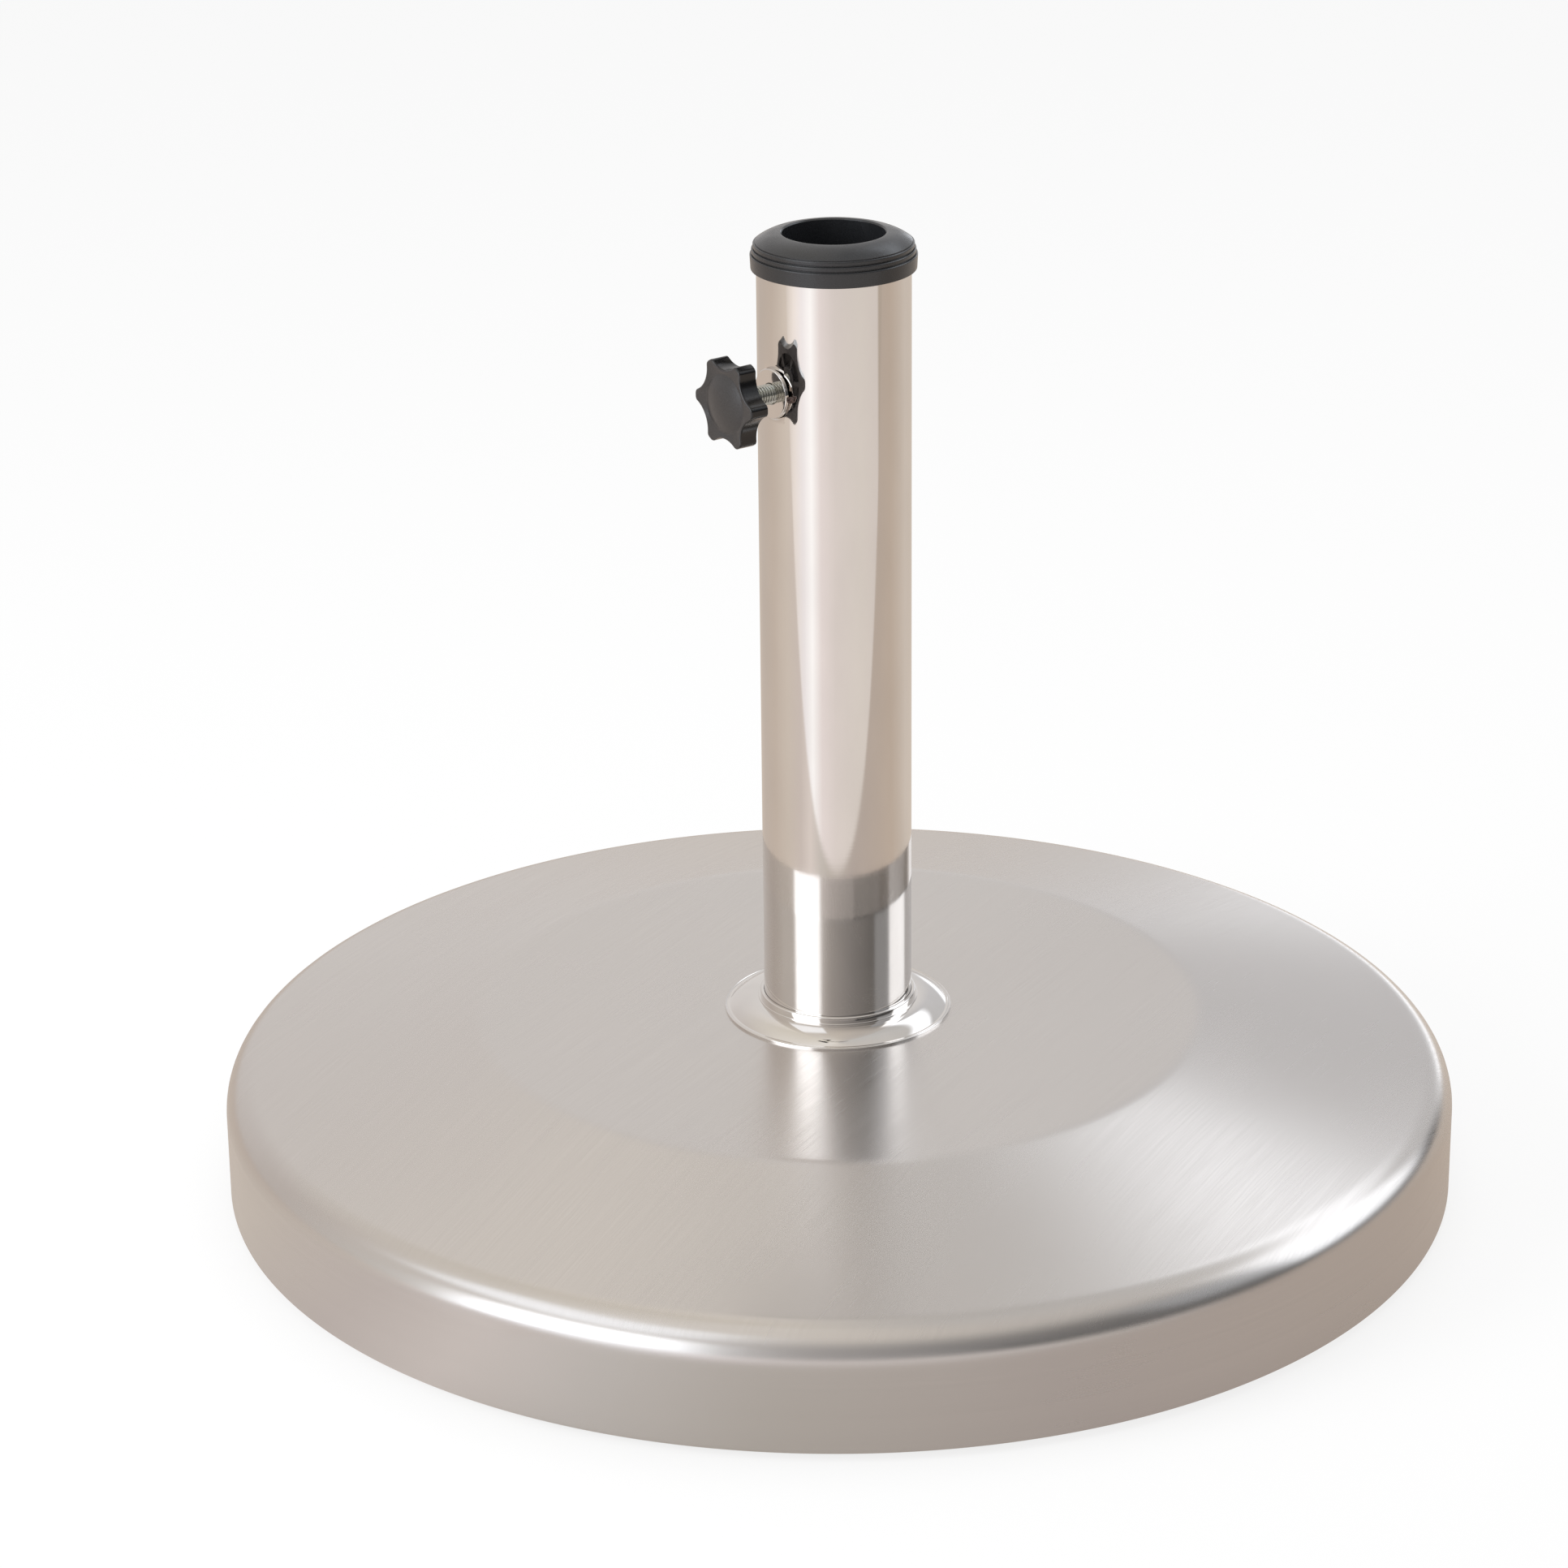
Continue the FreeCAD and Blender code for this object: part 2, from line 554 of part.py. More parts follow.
def pole_tube():
    """Polished tube that holds the pole, drilled for the barrel of the clamp nut."""
    body = new_body("pole_tube")
    ring(body, "Tube", TUBE_R, TUBE_BORE_R, "tube_length", COVER_TOP)
    sketch = new_sketch(body, "BarrelCircle", "XZ_Plane")
    circle(sketch, "nut_barrel_diameter / 2 + nut_barrel_fit", "0", CLAMP_HEIGHT)
    hole = sweep_up(body, "BarrelHole", sketch, f"{TUBE_R} + tube_wall", "Pocket", down=True)
    assert hole.Shape.Volume < hole.BaseFeature.Shape.Volume
    assert hole.Shape.BoundBox.YMax > value(TUBE_R) - 1e-3
    return body


def rosette():
    """Pressed ring that covers the tube's joint: lip, hollow flank, step and neck."""
    body = new_body("rosette")
    bore = f"({TUBE_R} + rosette_fit)"
    neck = f"({bore} + rosette_neck_wall)"
    shelf = f"({neck} + rosette_shelf)"
    lip = "(rosette_diameter / 2 - rosette_lip)"
    step = f"({COVER_TOP} + rosette_sheet + rosette_rise + rosette_step)"
    top = f"({step} + rosette_neck)"
    reach = f"({lip} - {shelf})"
    flank = f"(({reach} * {reach} + rosette_rise * rosette_rise) / (2 * rosette_rise))"
    under = f"({flank} + rosette_sheet)"
    under_end = f"({lip} - {under} * {reach} / {flank})"
    under_top = f"({COVER_TOP} + {under} - {under} * ({flank} - rosette_rise) / {flank})"
    revolve(body, "Ring", [
        ("rosette_diameter / 2", COVER_TOP),
        ("rosette_diameter / 2", f"{COVER_TOP} + rosette_sheet"),
        (lip, f"{COVER_TOP} + rosette_sheet", flank, 1),
        (shelf, f"{COVER_TOP} + rosette_sheet + rosette_rise"),
        (shelf, step),
        (neck, step),
        (neck, top),
        (bore, top),
        (bore, under_top),
        (under_end, under_top, under, -1),
        (lip, COVER_TOP),
    ])
    round_edges(body, "NeckTop", "rosette_neck_wall / 2", at_ring(neck, top))
    round_edges(body, "Edge", "rosette_sheet / 2",
                at_ring("rosette_diameter / 2", f"{COVER_TOP} + rosette_sheet"))
    return body


def top_cap():
    """Moulded cap: domed top with two beads and a band, guide sleeve, plug sleeve and ribs."""
    body = new_body("top_cap")
    dome = f"({TUBE_R} + cap_dome_overhang)"
    bead = f"({TUBE_R} + cap_bead_overhang)"
    second = f"({bead} + cap_bead_step)"
    band = f"({second} + cap_bead_step)"
    skirt = f"({TUBE_TOP} - cap_skirt)"
    sleeve = f"({BORE_R} + sleeve_wall)"
    plug = f"({TUBE_BORE_R} - cap_fit)"
    levels = [f"({TUBE_TOP} + cap_dome_edge)"]
    for gap in ("cap_groove", "cap_bead_height", "cap_groove", "cap_bead_height", "cap_groove"):
        levels.append(f"({levels[-1]} - {gap})")
    revolve(body, "Moulding", [
        (BORE_R, f"{TUBE_TOP} + cap_crown", "cap_dome_radius", 1),
        (dome, levels[0]),
        (dome, f"({levels[0]} + {levels[1]}) / 2"),
        (bead, levels[1]),
        (bead, levels[2]),
        (f"{bead} - cap_groove", levels[2]),
        (f"{bead} - cap_groove", f"({levels[2]} + {levels[3]}) / 2"),
        (second, levels[3]),
        (second, levels[4]),
        (f"{second} - cap_groove", levels[4]),
        (f"{second} - cap_groove", f"({levels[4]} + {levels[5]}) / 2"),
        (band, levels[5]),
        (f"{band} - cap_skirt_draft", skirt),
        (f"{TUBE_R} + cap_fit", skirt),
        (f"{TUBE_R} + cap_fit", TUBE_TOP),
        (plug, TUBE_TOP),
        (plug, f"{TUBE_TOP} - plug_length"),
        (f"{plug} - plug_wall", f"{TUBE_TOP} - plug_length"),
        (f"{plug} - plug_wall", f"{TUBE_TOP} + cap_ceiling"),
        (sleeve, f"{TUBE_TOP} + cap_ceiling"),
        (sleeve, f"{TUBE_TOP} - sleeve_length"),
        (BORE_R, f"{TUBE_TOP} - sleeve_length"),
    ])
    round_edges(body, "Mouth", "cap_mouth_rounding", at_ring(BORE_R, f"{TUBE_TOP} + cap_crown"))
    sketch = new_sketch(body, "RibOutline", "XZ_Plane")
    inner, outer = f"({sleeve} - sleeve_wall / 2)", f"({plug} - plug_wall / 2)"
    low, high = f"({TUBE_TOP} - plug_length + plug_wall)", f"({TUBE_TOP} + cap_ceiling + plug_wall / 2)"
    draw(sketch, [(inner, low), (outer, low), (outer, high), (inner, high)])
    rib = sweep_up(body, "Rib", sketch, "cap_rib_width", middle=True)
    polar(body, "Ribs", [rib], "cap_rib_count")
    return body


def clamp_nut():
    """Flanged bush welded to the tube, bored for the clamp screw."""
    body = new_body("clamp_nut")
    bore = "(screw_diameter / 2 + thread_fit)"
    barrel = "(nut_barrel_diameter / 2)"
    flange = "(nut_flange_diameter / 2)"
    revolve(body, "Bush", [
        (bore, "-nut_barrel_length"),
        (barrel, "-nut_barrel_length"),
        (barrel, "0"),
        (flange, "0"),
        (flange, "nut_flange_thickness"),
        (bore, "nut_flange_thickness"),
    ])
    round_edges(body, "FlangeEdge", "nut_flange_thickness / 3", at_ring(flange, "nut_flange_thickness"))
    place(body, CLAMP_HEIGHT, TUBE_R)
    return body


def knob_head():
    """Six-lobed star knob with a domed front, and a hub and ribs in its hollow back."""
    body = new_body("knob_head")
    root, tip = "(knob_root_diameter / 2)", "(knob_diameter / 2)"
    ring(body, "Blank", tip, "0", "knob_thickness")
    sketch = new_sketch(body, "FluteCircle", "XY_Plane")
    reach, turn = f"({root} + knob_flute_radius)", "(180 / knob_lobes)"
    circle(sketch, "knob_flute_radius", f"{reach} * cos({turn})", f"{reach} * sin({turn})")
    flute = sweep_up(body, "Flute", sketch, "knob_thickness", "Pocket", down=True)
    polar(body, "Flutes", [flute], "knob_lobes")

    def is_corner(edge):
        upright = abs(edge.Vertexes[0].Z - edge.Vertexes[-1].Z) > value("knob_thickness") / 2
        return upright and math.hypot(edge.CenterOfMass.x, edge.CenterOfMass.y) > value(root) + 1e-3

    round_edges(body, "Tips", "knob_tip_rounding", is_corner)
    round_edges(body, "FrontEdge", "knob_edge_rounding",
                lambda edge: edge.BoundBox.ZMin > value("knob_thickness") - 1e-3)
    half, rise = "(knob_dome_diameter / 2)", "knob_dome_height"
    revolve(body, "Dome", [
        ("0", "knob_thickness"),
        (half, "knob_thickness", f"({half} * {half} + {rise} * {rise}) / (2 * {rise})", -1),
        ("0", f"knob_thickness + {rise}"),
    ])
    hollow, hub = f"({root} - knob_side_wall)", "(knob_hub_diameter / 2)"
    sketch = new_sketch(body, "HollowRings", "XY_Plane")
    circle(sketch, hollow)
    circle(sketch, hub)
    sweep_up(body, "Hollow", sketch, HUB_DEPTH, "Pocket", down=True)
    sketch = new_sketch(body, "RibOutline", "XY_Plane")
    near, far = f"({hub} - knob_side_wall / 2)", f"({hollow} + knob_side_wall / 2)"
    side = "knob_rib_width / 2"
    draw(sketch, [(near, f"-{side}"), (far, f"-{side}"), (far, side), (near, side)])
    rib = sweep_up(body, "Rib", sketch, HUB_DEPTH)
    polar(body, "Ribs", [rib], "knob_lobes")
    sketch = new_sketch(body, "ScrewHole", "XY_Plane")
    circle(sketch, "screw_diameter / 2 + moulded_fit")
    sweep_up(body, "ScrewSeat", sketch, HUB_DEPTH, "Pocket", down=True)
    place(body, CLAMP_HEIGHT, KNOB_BACK)
    return body


def knob_stud():
    """Clamp screw moulded into the knob, with a pin for the pad at its end."""
    body = new_body("knob_stud")
    shank, pin_r = "(screw_diameter / 2)", "(screw_spigot_diameter / 2)"
    revolve(body, "Screw", [
        ("0", f"-{SCREW_LENGTH} - screw_spigot_length"),
        (pin_r, f"-{SCREW_LENGTH} - screw_spigot_length"),
        (pin_r, f"-{SCREW_LENGTH}"),
        (f"{shank} - screw_chamfer", f"-{SCREW_LENGTH}"),
        (shank, f"-{SCREW_LENGTH} + screw_chamfer"),
        (shank, HUB_DEPTH),
        ("0", HUB_DEPTH),
    ])
    place(body, CLAMP_HEIGHT, KNOB_BACK)
    return body


def pressure_pad():
    """Nylon pad that presses on the pole while the screw turns in it."""
    body = new_body("pressure_pad")
    back, outside = "pad_length", "(pad_diameter / 2)"
    hole = "(screw_spigot_diameter / 2 + thread_fit)"
    depth = "(pad_length - screw_spigot_length)"
    revolve(body, "Pad", [
        ("0", "0"),
        (f"{outside} - pad_crown", "0"),
        (outside, "pad_crown"),
        (outside, back),
        (hole, back),
        (hole, depth),
        ("0", depth),
    ])
    place(body, CLAMP_HEIGHT, PAD_TIP)
    return body


def write(pieces):
    """Check every object and piece, then write each piece to its own file."""
    doc.recompute()
    for item in doc.Objects:
        assert not {"Invalid", "Error"} & set(item.State), f"{item.Label}: {item.State}"
    for piece in pieces:
        assert not piece.Shape.isNull() and piece.Shape.isValid() and piece.Shape.Solids, piece.Label
    os.makedirs("parts", exist_ok=True)
    for piece in pieces:
        piece.Shape.exportStep(f"parts/{piece.Label}.step")
        print(f"{piece.Label}: {len(piece.Shape.Solids)} solids, {piece.Shape.Volume:.0f} mm3")


foot_pads = [foot_pad(number + 1) for number in range(round(value("foot_count")))]
write([
    base_cover(), ballast(), base_tray(), *foot_pads, foot_screws(),
    anchor_bolt(), anchor_spring_washer(), anchor_washer(), anchor_nut(),
    tube_foot_plate(), pole_tube(), rosette(), top_cap(),
    clamp_nut(), knob_head(), knob_stud(), pressure_pad(),
])
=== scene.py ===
"""Parasol base: steel cover on a cast slab, polished tube, moulded cap and a star knob.

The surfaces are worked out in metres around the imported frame, +Z up, with the tube's axis on
the origin and the clamp screw pointing along -Y.
"""

import math

import bmesh
import bpy
import numpy as np
from bpy.props import FloatProperty, FloatVectorProperty, IntProperty, PointerProperty
from mathutils import Matrix, Vector


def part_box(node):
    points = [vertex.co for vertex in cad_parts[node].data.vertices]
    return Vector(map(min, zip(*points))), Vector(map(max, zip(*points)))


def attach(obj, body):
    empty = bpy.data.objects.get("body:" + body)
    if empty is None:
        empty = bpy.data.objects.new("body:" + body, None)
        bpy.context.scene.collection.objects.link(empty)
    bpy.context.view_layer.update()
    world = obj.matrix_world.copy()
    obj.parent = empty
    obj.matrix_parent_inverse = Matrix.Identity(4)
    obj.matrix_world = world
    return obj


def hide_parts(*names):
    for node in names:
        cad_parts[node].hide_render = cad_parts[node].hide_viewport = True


bl_info = {
    "name": "Parasol base",
    "version": (1, 0, 0),
    "blender": (4, 5, 0),
    "location": "View3D > Sidebar > Parasol base",
    "description": "Surfaces and finishes of a parasol base around its packed frame",
    "category": "Add Mesh",
}

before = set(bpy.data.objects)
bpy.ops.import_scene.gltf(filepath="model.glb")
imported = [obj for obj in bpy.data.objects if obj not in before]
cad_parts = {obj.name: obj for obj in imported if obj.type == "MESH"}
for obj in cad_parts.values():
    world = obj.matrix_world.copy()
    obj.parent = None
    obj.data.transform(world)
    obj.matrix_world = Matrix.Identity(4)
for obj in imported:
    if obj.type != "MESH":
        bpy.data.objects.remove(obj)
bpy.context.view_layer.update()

MM = 0.001
COVER_LOW, COVER_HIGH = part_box("base_cover")
TUBE_LOW, TUBE_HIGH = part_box("pole_tube")
ROSETTE_LOW, ROSETTE_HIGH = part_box("rosette")
CAP_LOW, CAP_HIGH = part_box("top_cap")
NUT_LOW, NUT_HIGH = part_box("clamp_nut")
KNOB_LOW, KNOB_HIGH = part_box("knob_head")
SCREW_LOW, SCREW_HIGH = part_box("knob_stud")
PAD_LOW, PAD_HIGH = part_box("pressure_pad")
CLAMP_HEIGHT = (NUT_LOW.z + NUT_HIGH.z) / 2
FOOT_NODES = [f"foot_pad_{number}" for number in range(1, 7)]


def length(name, size, description):
    """A size in metres that a user can change."""
    return FloatProperty(name=name, description=description, default=size, subtype="DISTANCE",
                         unit="LENGTH", precision=5)


def slant(name, degrees, description):
    """An angle that a user can change."""
    return FloatProperty(name=name, description=description, default=math.radians(degrees),
                         subtype="ANGLE")


def colour(name, tone, description):
    """A finish's colour that a user can change."""
    return FloatVectorProperty(name=name, description=description, default=tone, subtype="COLOR",
                               size=3, min=0, max=1)


class CoverSizes(bpy.types.PropertyGroup):
    dish_radius: length("Dish radius", 147 * MM, "Flat centre of the cover, to the crease")
    slope: slant("Slope", 11.4, "Fall of the cone outside the crease")
    crease_bend: length("Crease bend", 30 * MM, "Radius between flat centre and cone")
    shoulder_bend: length("Shoulder bend", 15 * MM, "Radius between cone and skirt")
    hem: length("Hem", 7 * MM, "Skirt edge folded inwards")
    hem_bend: length("Hem bend", 1.6 * MM, "Outer radius of that fold")
    sheet: length("Sheet", 0.8 * MM, "Thickness of the steel")
    passage: length("Bolt passage", 7 * MM, "Radius of the hole under the tube")


class PostSizes(bpy.types.PropertyGroup):
    wall: length("Tube wall", 1.5 * MM, "Wall of the polished tube")
    edge: length("Tube edge", 0.35 * MM, "Rounding of the tube's ends")
    lip: length("Rosette lip", 2 * MM, "Flat edge of the pressed ring")
    bead: length("Rosette bead", 0.55 * MM, "Radius of the fine bead on that edge")
    ring_fit: length("Rosette fit", 0.15 * MM, "Gap between the ring's neck and the tube")
    ring_sheet: length("Rosette sheet", 0.9 * MM, "Sheet of the pressed ring")
    rise: length("Rosette rise", 4 * MM, "Hollow flank from the lip to the step")
    step: length("Rosette step", 0.5 * MM, "Small step above the flank")
    shelf: length("Rosette shelf", 0.9 * MM, "Width of the step outside the neck")
    neck_wall: length("Rosette neck", 1.4 * MM, "Neck's thickness at the tube")
    barrel_radius: length("Barrel radius", 6 * MM, "Barrel of the clamp nut through the tube")
    barrel_fit: length("Barrel fit", 0.1 * MM, "Gap round the barrel in the tube's wall")
    nut_bore: length("Nut bore", 4.08 * MM, "Radius of the clamp nut's thread")
    flange_sheet: length("Flange", 1.5 * MM, "Thickness of the clamp nut's flange")


class CapSizes(bpy.types.PropertyGroup):
    bore: length("Bore radius", 20 * MM, "Pole bore")
    dome_bend: length("Dome bend", 20 * MM, "Curve of the cap's top")
    sleeve_wall: length("Sleeve wall", 2 * MM, "Guide sleeve round the bore")
    plug_wall: length("Plug wall", 1.8 * MM, "Outer sleeve inside the tube")
    plug_length: length("Plug length", 24 * MM, "Outer sleeve below the tube's top")
    groove: length("Groove", 0.4 * MM, "Groove between two beads")
    bead: length("Bead", 1.7 * MM, "Height of one bead")
    dome_edge: length("Dome edge", 2.3 * MM, "Edge of the dome above the tube's top")
    dome_overhang: length("Dome overhang", 0.4 * MM, "Edge of the dome beyond the tube")
    bead_overhang: length("Bead overhang", 1.2 * MM, "Upper bead beyond the tube")
    bead_step: length("Bead step", 0.6 * MM, "Lower bead and band, each beyond the last")
    band_drop: length("Band drop", 8.3 * MM, "Band's lower edge below the tube's top")
    fit: length("Cap fit", 0.3 * MM, "Gap between cap and tube")
    rounding: length("Rounding", 0.28 * MM, "Edge of a bead")
    ribs: IntProperty(name="Ribs", description="Ribs between the two sleeves", default=6)


class KnobSizes(bpy.types.PropertyGroup):
    lobes: IntProperty(name="Lobes", description="Lobes of the star", default=6)
    root: length("Root radius", 13.8 * MM, "Star between its lobes")
    flute: length("Flute", 11 * MM, "Hollow between two lobes")
    tip: length("Tip", 2 * MM, "Corner of a lobe")
    edge: length("Edge", 0.7 * MM, "Rounding of the front edge")
    dome: length("Dome", 11.5 * MM, "Radius of the raised front")
    dome_rise: length("Dome rise", 1.5 * MM, "Height of the raised front")
    dish: length("Dish", 0.8 * MM, "Depth of the land round the raised front")
    front_wall: length("Front wall", 2.6 * MM, "Plastic in front of the hollow back")
    side_wall: length("Side wall", 2 * MM, "Plastic between hollow and flutes")
    hub: length("Hub", 6.5 * MM, "Hub round the screw")
    pitch: length("Pitch", 1.25 * MM, "One turn of the screw's thread")
    thread: length("Thread", 0.68 * MM, "Depth of the thread")


class Finishes(bpy.types.PropertyGroup):
    brushed: colour("Brushed steel", (0.69, 0.655, 0.625), "Cover")
    polished: colour("Polished steel", (0.81, 0.78, 0.75), "Tube, rosette and clamp nut")
    zinc: colour("Zinc", (0.66, 0.67, 0.62), "Screws and bolts")
    raw: colour("Raw steel", (0.33, 0.32, 0.31), "End plate")
    weld: colour("Weld", (0.16, 0.12, 0.11), "Tacks beside the clamp nut")
    cap: colour("Cap", (0.016, 0.017, 0.019), "Satin black cap")
    knob: colour("Knob", (0.030, 0.029, 0.030), "Black star knob")
    tray: colour("Tray", (0.018, 0.018, 0.019), "Black moulded underside")
    rubber: colour("Rubber", (0.014, 0.014, 0.014), "Feet")
    nylon: colour("Nylon", (0.72, 0.70, 0.64), "Pressure pad")
    concrete: colour("Concrete", (0.34, 0.33, 0.31), "Cast slab")


class StageSizes(bpy.types.PropertyGroup):
    azimuth: slant("Azimuth", 52, "Camera round the tube, from the clamp screw")
    tilt: slant("Tilt", 21.353, "Camera below the horizon")
    pan: slant("Pan", 0.695, "Camera turned to the left")
    roll: slant("Roll", -0.57, "Camera turned about its own line of sight")
    reach: length("Distance", 1.7415, "Camera from the tube's axis")
    height: length("Height", 0.8487, "Camera above the ground")
    lens: FloatProperty(name="Lens", description="Focal length in millimetres", default=107.05)
    floor: length("Floor", 5.0, "Radius of the floor")
    sweep: length("Paper edge", 0.375, "Straight edge of the warm paper in front of the tube")


GROUPS = {"parasol_cover": CoverSizes, "parasol_post": PostSizes, "parasol_cap": CapSizes,
          "parasol_knob": KnobSizes, "parasol_finish": Finishes, "parasol_stage": StageSizes}


# Surfaces ------------------------------

def bend(before, corner, after, radius):
    """Arc that rounds a corner.

    Its points turn evenly round a centre on the corner's bisector, from tangent to tangent.
    One more point on each straight side keeps the shading flat there.
    """
    to_before = (before - corner) / np.linalg.norm(before - corner)
    to_after = (after - corner) / np.linalg.norm(after - corner)
    half = math.acos(np.clip(to_before @ to_after, -1, 1)) / 2
    bisector = (to_before + to_after) / np.linalg.norm(to_before + to_after)
    centre = corner + bisector * radius / math.sin(half)
    start = corner + to_before * radius / math.tan(half)
    end = corner + to_after * radius / math.tan(half)
    turn = math.pi - 2 * half
    share = np.linspace(0, 1, max(5, round(math.degrees(turn) / 6)))[:, None]
    arc = np.sin((1 - share) * turn) * (start - centre) + np.sin(share * turn) * (end - centre)
    margin = radius * 0.12
    return np.vstack([start + to_before * margin, centre + arc / math.sin(turn), end + to_after * margin])


def outline(corners):
    """Closed outline through (across, up) or (across, up, rounding radius) corners."""
    points = [np.array(corner[:2], float) for corner in corners]
    parts = []
    for index, corner in enumerate(corners):
        if len(corner) == 2:
            parts.append(points[index][None])
        else:
            following = points[(index + 1) % len(points)]
            parts.append(bend(points[index - 1], points[index], following, corner[2]))
    return np.vstack(parts)


def curve(start, end, radius, steps):
    """Arc of that radius from start to end, on the left of its chord if radius is positive."""
    start, end = np.array(start, float), np.array(end, float)
    half = (end - start) / 2
    reach = np.linalg.norm(half)
    side = np.array([-half[1], half[0]]) / reach * math.copysign(1, radius)
    spread = math.asin(reach / abs(radius))
    angle = np.linspace(-spread, spread, steps)[:, None]
    centre = start + half - side * abs(radius) * math.cos(spread)
    return centre + abs(radius) * (np.sin(angle) * half / reach + np.cos(angle) * side)


def evenly(count):
    """Angles of that many equal steps round one turn."""
    return np.linspace(0, 2 * math.pi, count, endpoint=False)


def turned(profile, columns):
    """Grid of a profile (radius, height) carried round the Z axis in equal steps."""
    angle = evenly(columns)
    ring = np.stack([np.cos(angle), np.sin(angle), np.zeros(columns)], axis=1)
    return profile[:, None, :1] * ring + profile[:, None, 1:] * np.array([0, 0, 1.0])


def slab(low, high, turn):
    """Eight corners and six sides of a bar between two corners, turned about the Z axis."""
    ring = [[0, 0], [1, 0], [1, 1], [0, 1]]
    pick = np.array([[*corner, 0] for corner in ring] + [[*corner, 1] for corner in ring])
    points = np.where(pick == 1, np.array(high, float), np.array(low, float))
    along, across = math.cos(turn), math.sin(turn)
    points = points @ np.array([[along, across, 0], [-across, along, 0], [0, 0, 1]])
    sides = [[0, 3, 2, 1], [4, 5, 6, 7], [0, 1, 5, 4], [1, 2, 6, 5], [2, 3, 7, 6], [3, 0, 4, 7]]
    return points, np.array(sides)


def skin(grid, closed=True):
    """Vertices and four-sided faces of a grid whose columns run round, and its rows if closed."""
    rows, columns = grid.shape[:2]
    row = np.arange(rows if closed else rows - 1)[:, None]
    column = np.arange(columns)[None]
    here, beside = row * columns + column, row * columns + (column + 1) % columns
    above = (row + 1) % rows * columns
    faces = np.stack([here, beside, above + (column + 1) % columns, above + column], axis=2)
    return grid.reshape(-1, 3), faces.reshape(-1, 4)


def stand_out(points, forward):
    """Lay points turned about the Z axis out along -Y, forward from the tube's axis at the clamp."""
    return np.stack([points[..., 0], -forward - points[..., 2], CLAMP_HEIGHT + points[..., 1]], axis=-1)


def add_piece(name, parts, body, slot, node=None, look=None, sharp=32):
    """Join (vertices, faces) parts into one closed, outward-facing mesh that rides on a body.

    The look is the slot's own finish unless another is named.
    """
    counts = np.cumsum([0] + [len(points) for points, _ in parts])
    points = np.vstack([part[0] for part in parts])
    faces = np.vstack([part[1] + shift for part, shift in zip(parts, counts)])
    mesh = bpy.data.meshes.new(name)
    mesh.from_pydata(points.tolist(), [], faces.tolist())
    edit = bmesh.new()
    edit.from_mesh(mesh)
    bmesh.ops.remove_doubles(edit, verts=edit.verts, dist=1e-7)
    bmesh.ops.dissolve_degenerate(edit, edges=edit.edges, dist=1e-8)
    bmesh.ops.recalc_face_normals(edit, faces=edit.faces)
    edit.to_mesh(mesh)
    edit.free()
    mesh.shade_smooth()
    mesh.set_sharp_from_angle(angle=math.radians(sharp))
    mesh.materials.append(finish(look or slot))
    piece = bpy.data.objects.new(name, mesh)
    bpy.context.scene.collection.objects.link(piece)
    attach(piece, body)
    if node:
        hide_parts(node)
    return piece


# Finishes ------------------------------

def add_node(tree, kind, inputs=(), **settings):
    """Add a shader node; inputs are pairs of socket and value or linked socket."""
    made = tree.nodes.new("ShaderNode" + kind)
    for name, setting in settings.items():
        setattr(made, name, setting)
    for socket, source in inputs:
        if isinstance(source, bpy.types.NodeSocket):
            tree.links.new(source, made.inputs[socket])
        else:
            made.inputs[socket].default_value = source
    return made


def calc(tree, operation, *terms):
    """Output of a Math node."""
    return add_node(tree, "Math", enumerate(terms), operation=operation).outputs[0]


def weigh(tree, first, share, second, rest):
    """First value times its share plus second value times the rest."""
    return calc(tree, "ADD", calc(tree, "MULTIPLY", first, share), calc(tree, "MULTIPLY", second, rest))


def fade(tree, source, low, high, to_low=0.0, to_high=1.0):
    """Smooth step of a value from low to high."""
    places = ((0, source), (1, low), (2, high), (3, to_low), (4, to_high))
    return add_node(tree, "MapRange", places, interpolation_type="SMOOTHSTEP").outputs[0]


def blend(tree, share, first, second):
    """Colour between first and second."""
    places = ((0, share), (6, first), (7, second))
    return add_node(tree, "Mix", places, data_type="RGBA").outputs[2]


def split(tree, vector):
    """X, Y and Z of a vector."""
    return add_node(tree, "SeparateXYZ", ((0, vector),)).outputs


def grey(level):
    """Neutral colour."""
    return (level, level, level, 1.0)


def times(tone, share):
    """Colour with each part times a share, and at most 1."""
    return tuple(min(1.0, part * share) for part in tone[:3]) + (1.0,)


def noise(tree, place, stretch, detail, roughness=0.5):
    """Noise whose grain is stretched by a size along each axis, about 0 to 1."""
    mapping = add_node(tree, "Mapping", (("Vector", place), ("Scale", [1 / size for size in stretch])))
    places = (("Vector", mapping.outputs[0]), ("Scale", 1.0), ("Detail", detail), ("Roughness", roughness))
    return add_node(tree, "TexNoise", places).outputs[0]


def new_material(name, **constants):
    """Material, its nodes, its surface and Object coordinates; constants are sockets by name."""
    material = bpy.data.materials.new(name + "_finish")
    material.use_nodes = True
    tree = material.node_tree
    surface = tree.nodes["Principled BSDF"]
    for socket, value in constants.items():
        surface.inputs[socket.replace("_", " ")].default_value = value
    place = add_node(tree, "TexCoord").outputs["Object"]
    return material, tree, surface, place


def roughen(tree, surface, height, depth, strength):
    """Bump of that depth in metres."""
    places = (("Height", height), ("Distance", depth), ("Strength", strength))
    tree.links.new(add_node(tree, "Bump", places).outputs[0], surface.inputs["Normal"])


def coat(tree, surface, shade, rough):
    """Give the surface its colour and its roughness."""
    tree.links.new(shade, surface.inputs["Base Color"])
    tree.links.new(rough, surface.inputs["Roughness"])


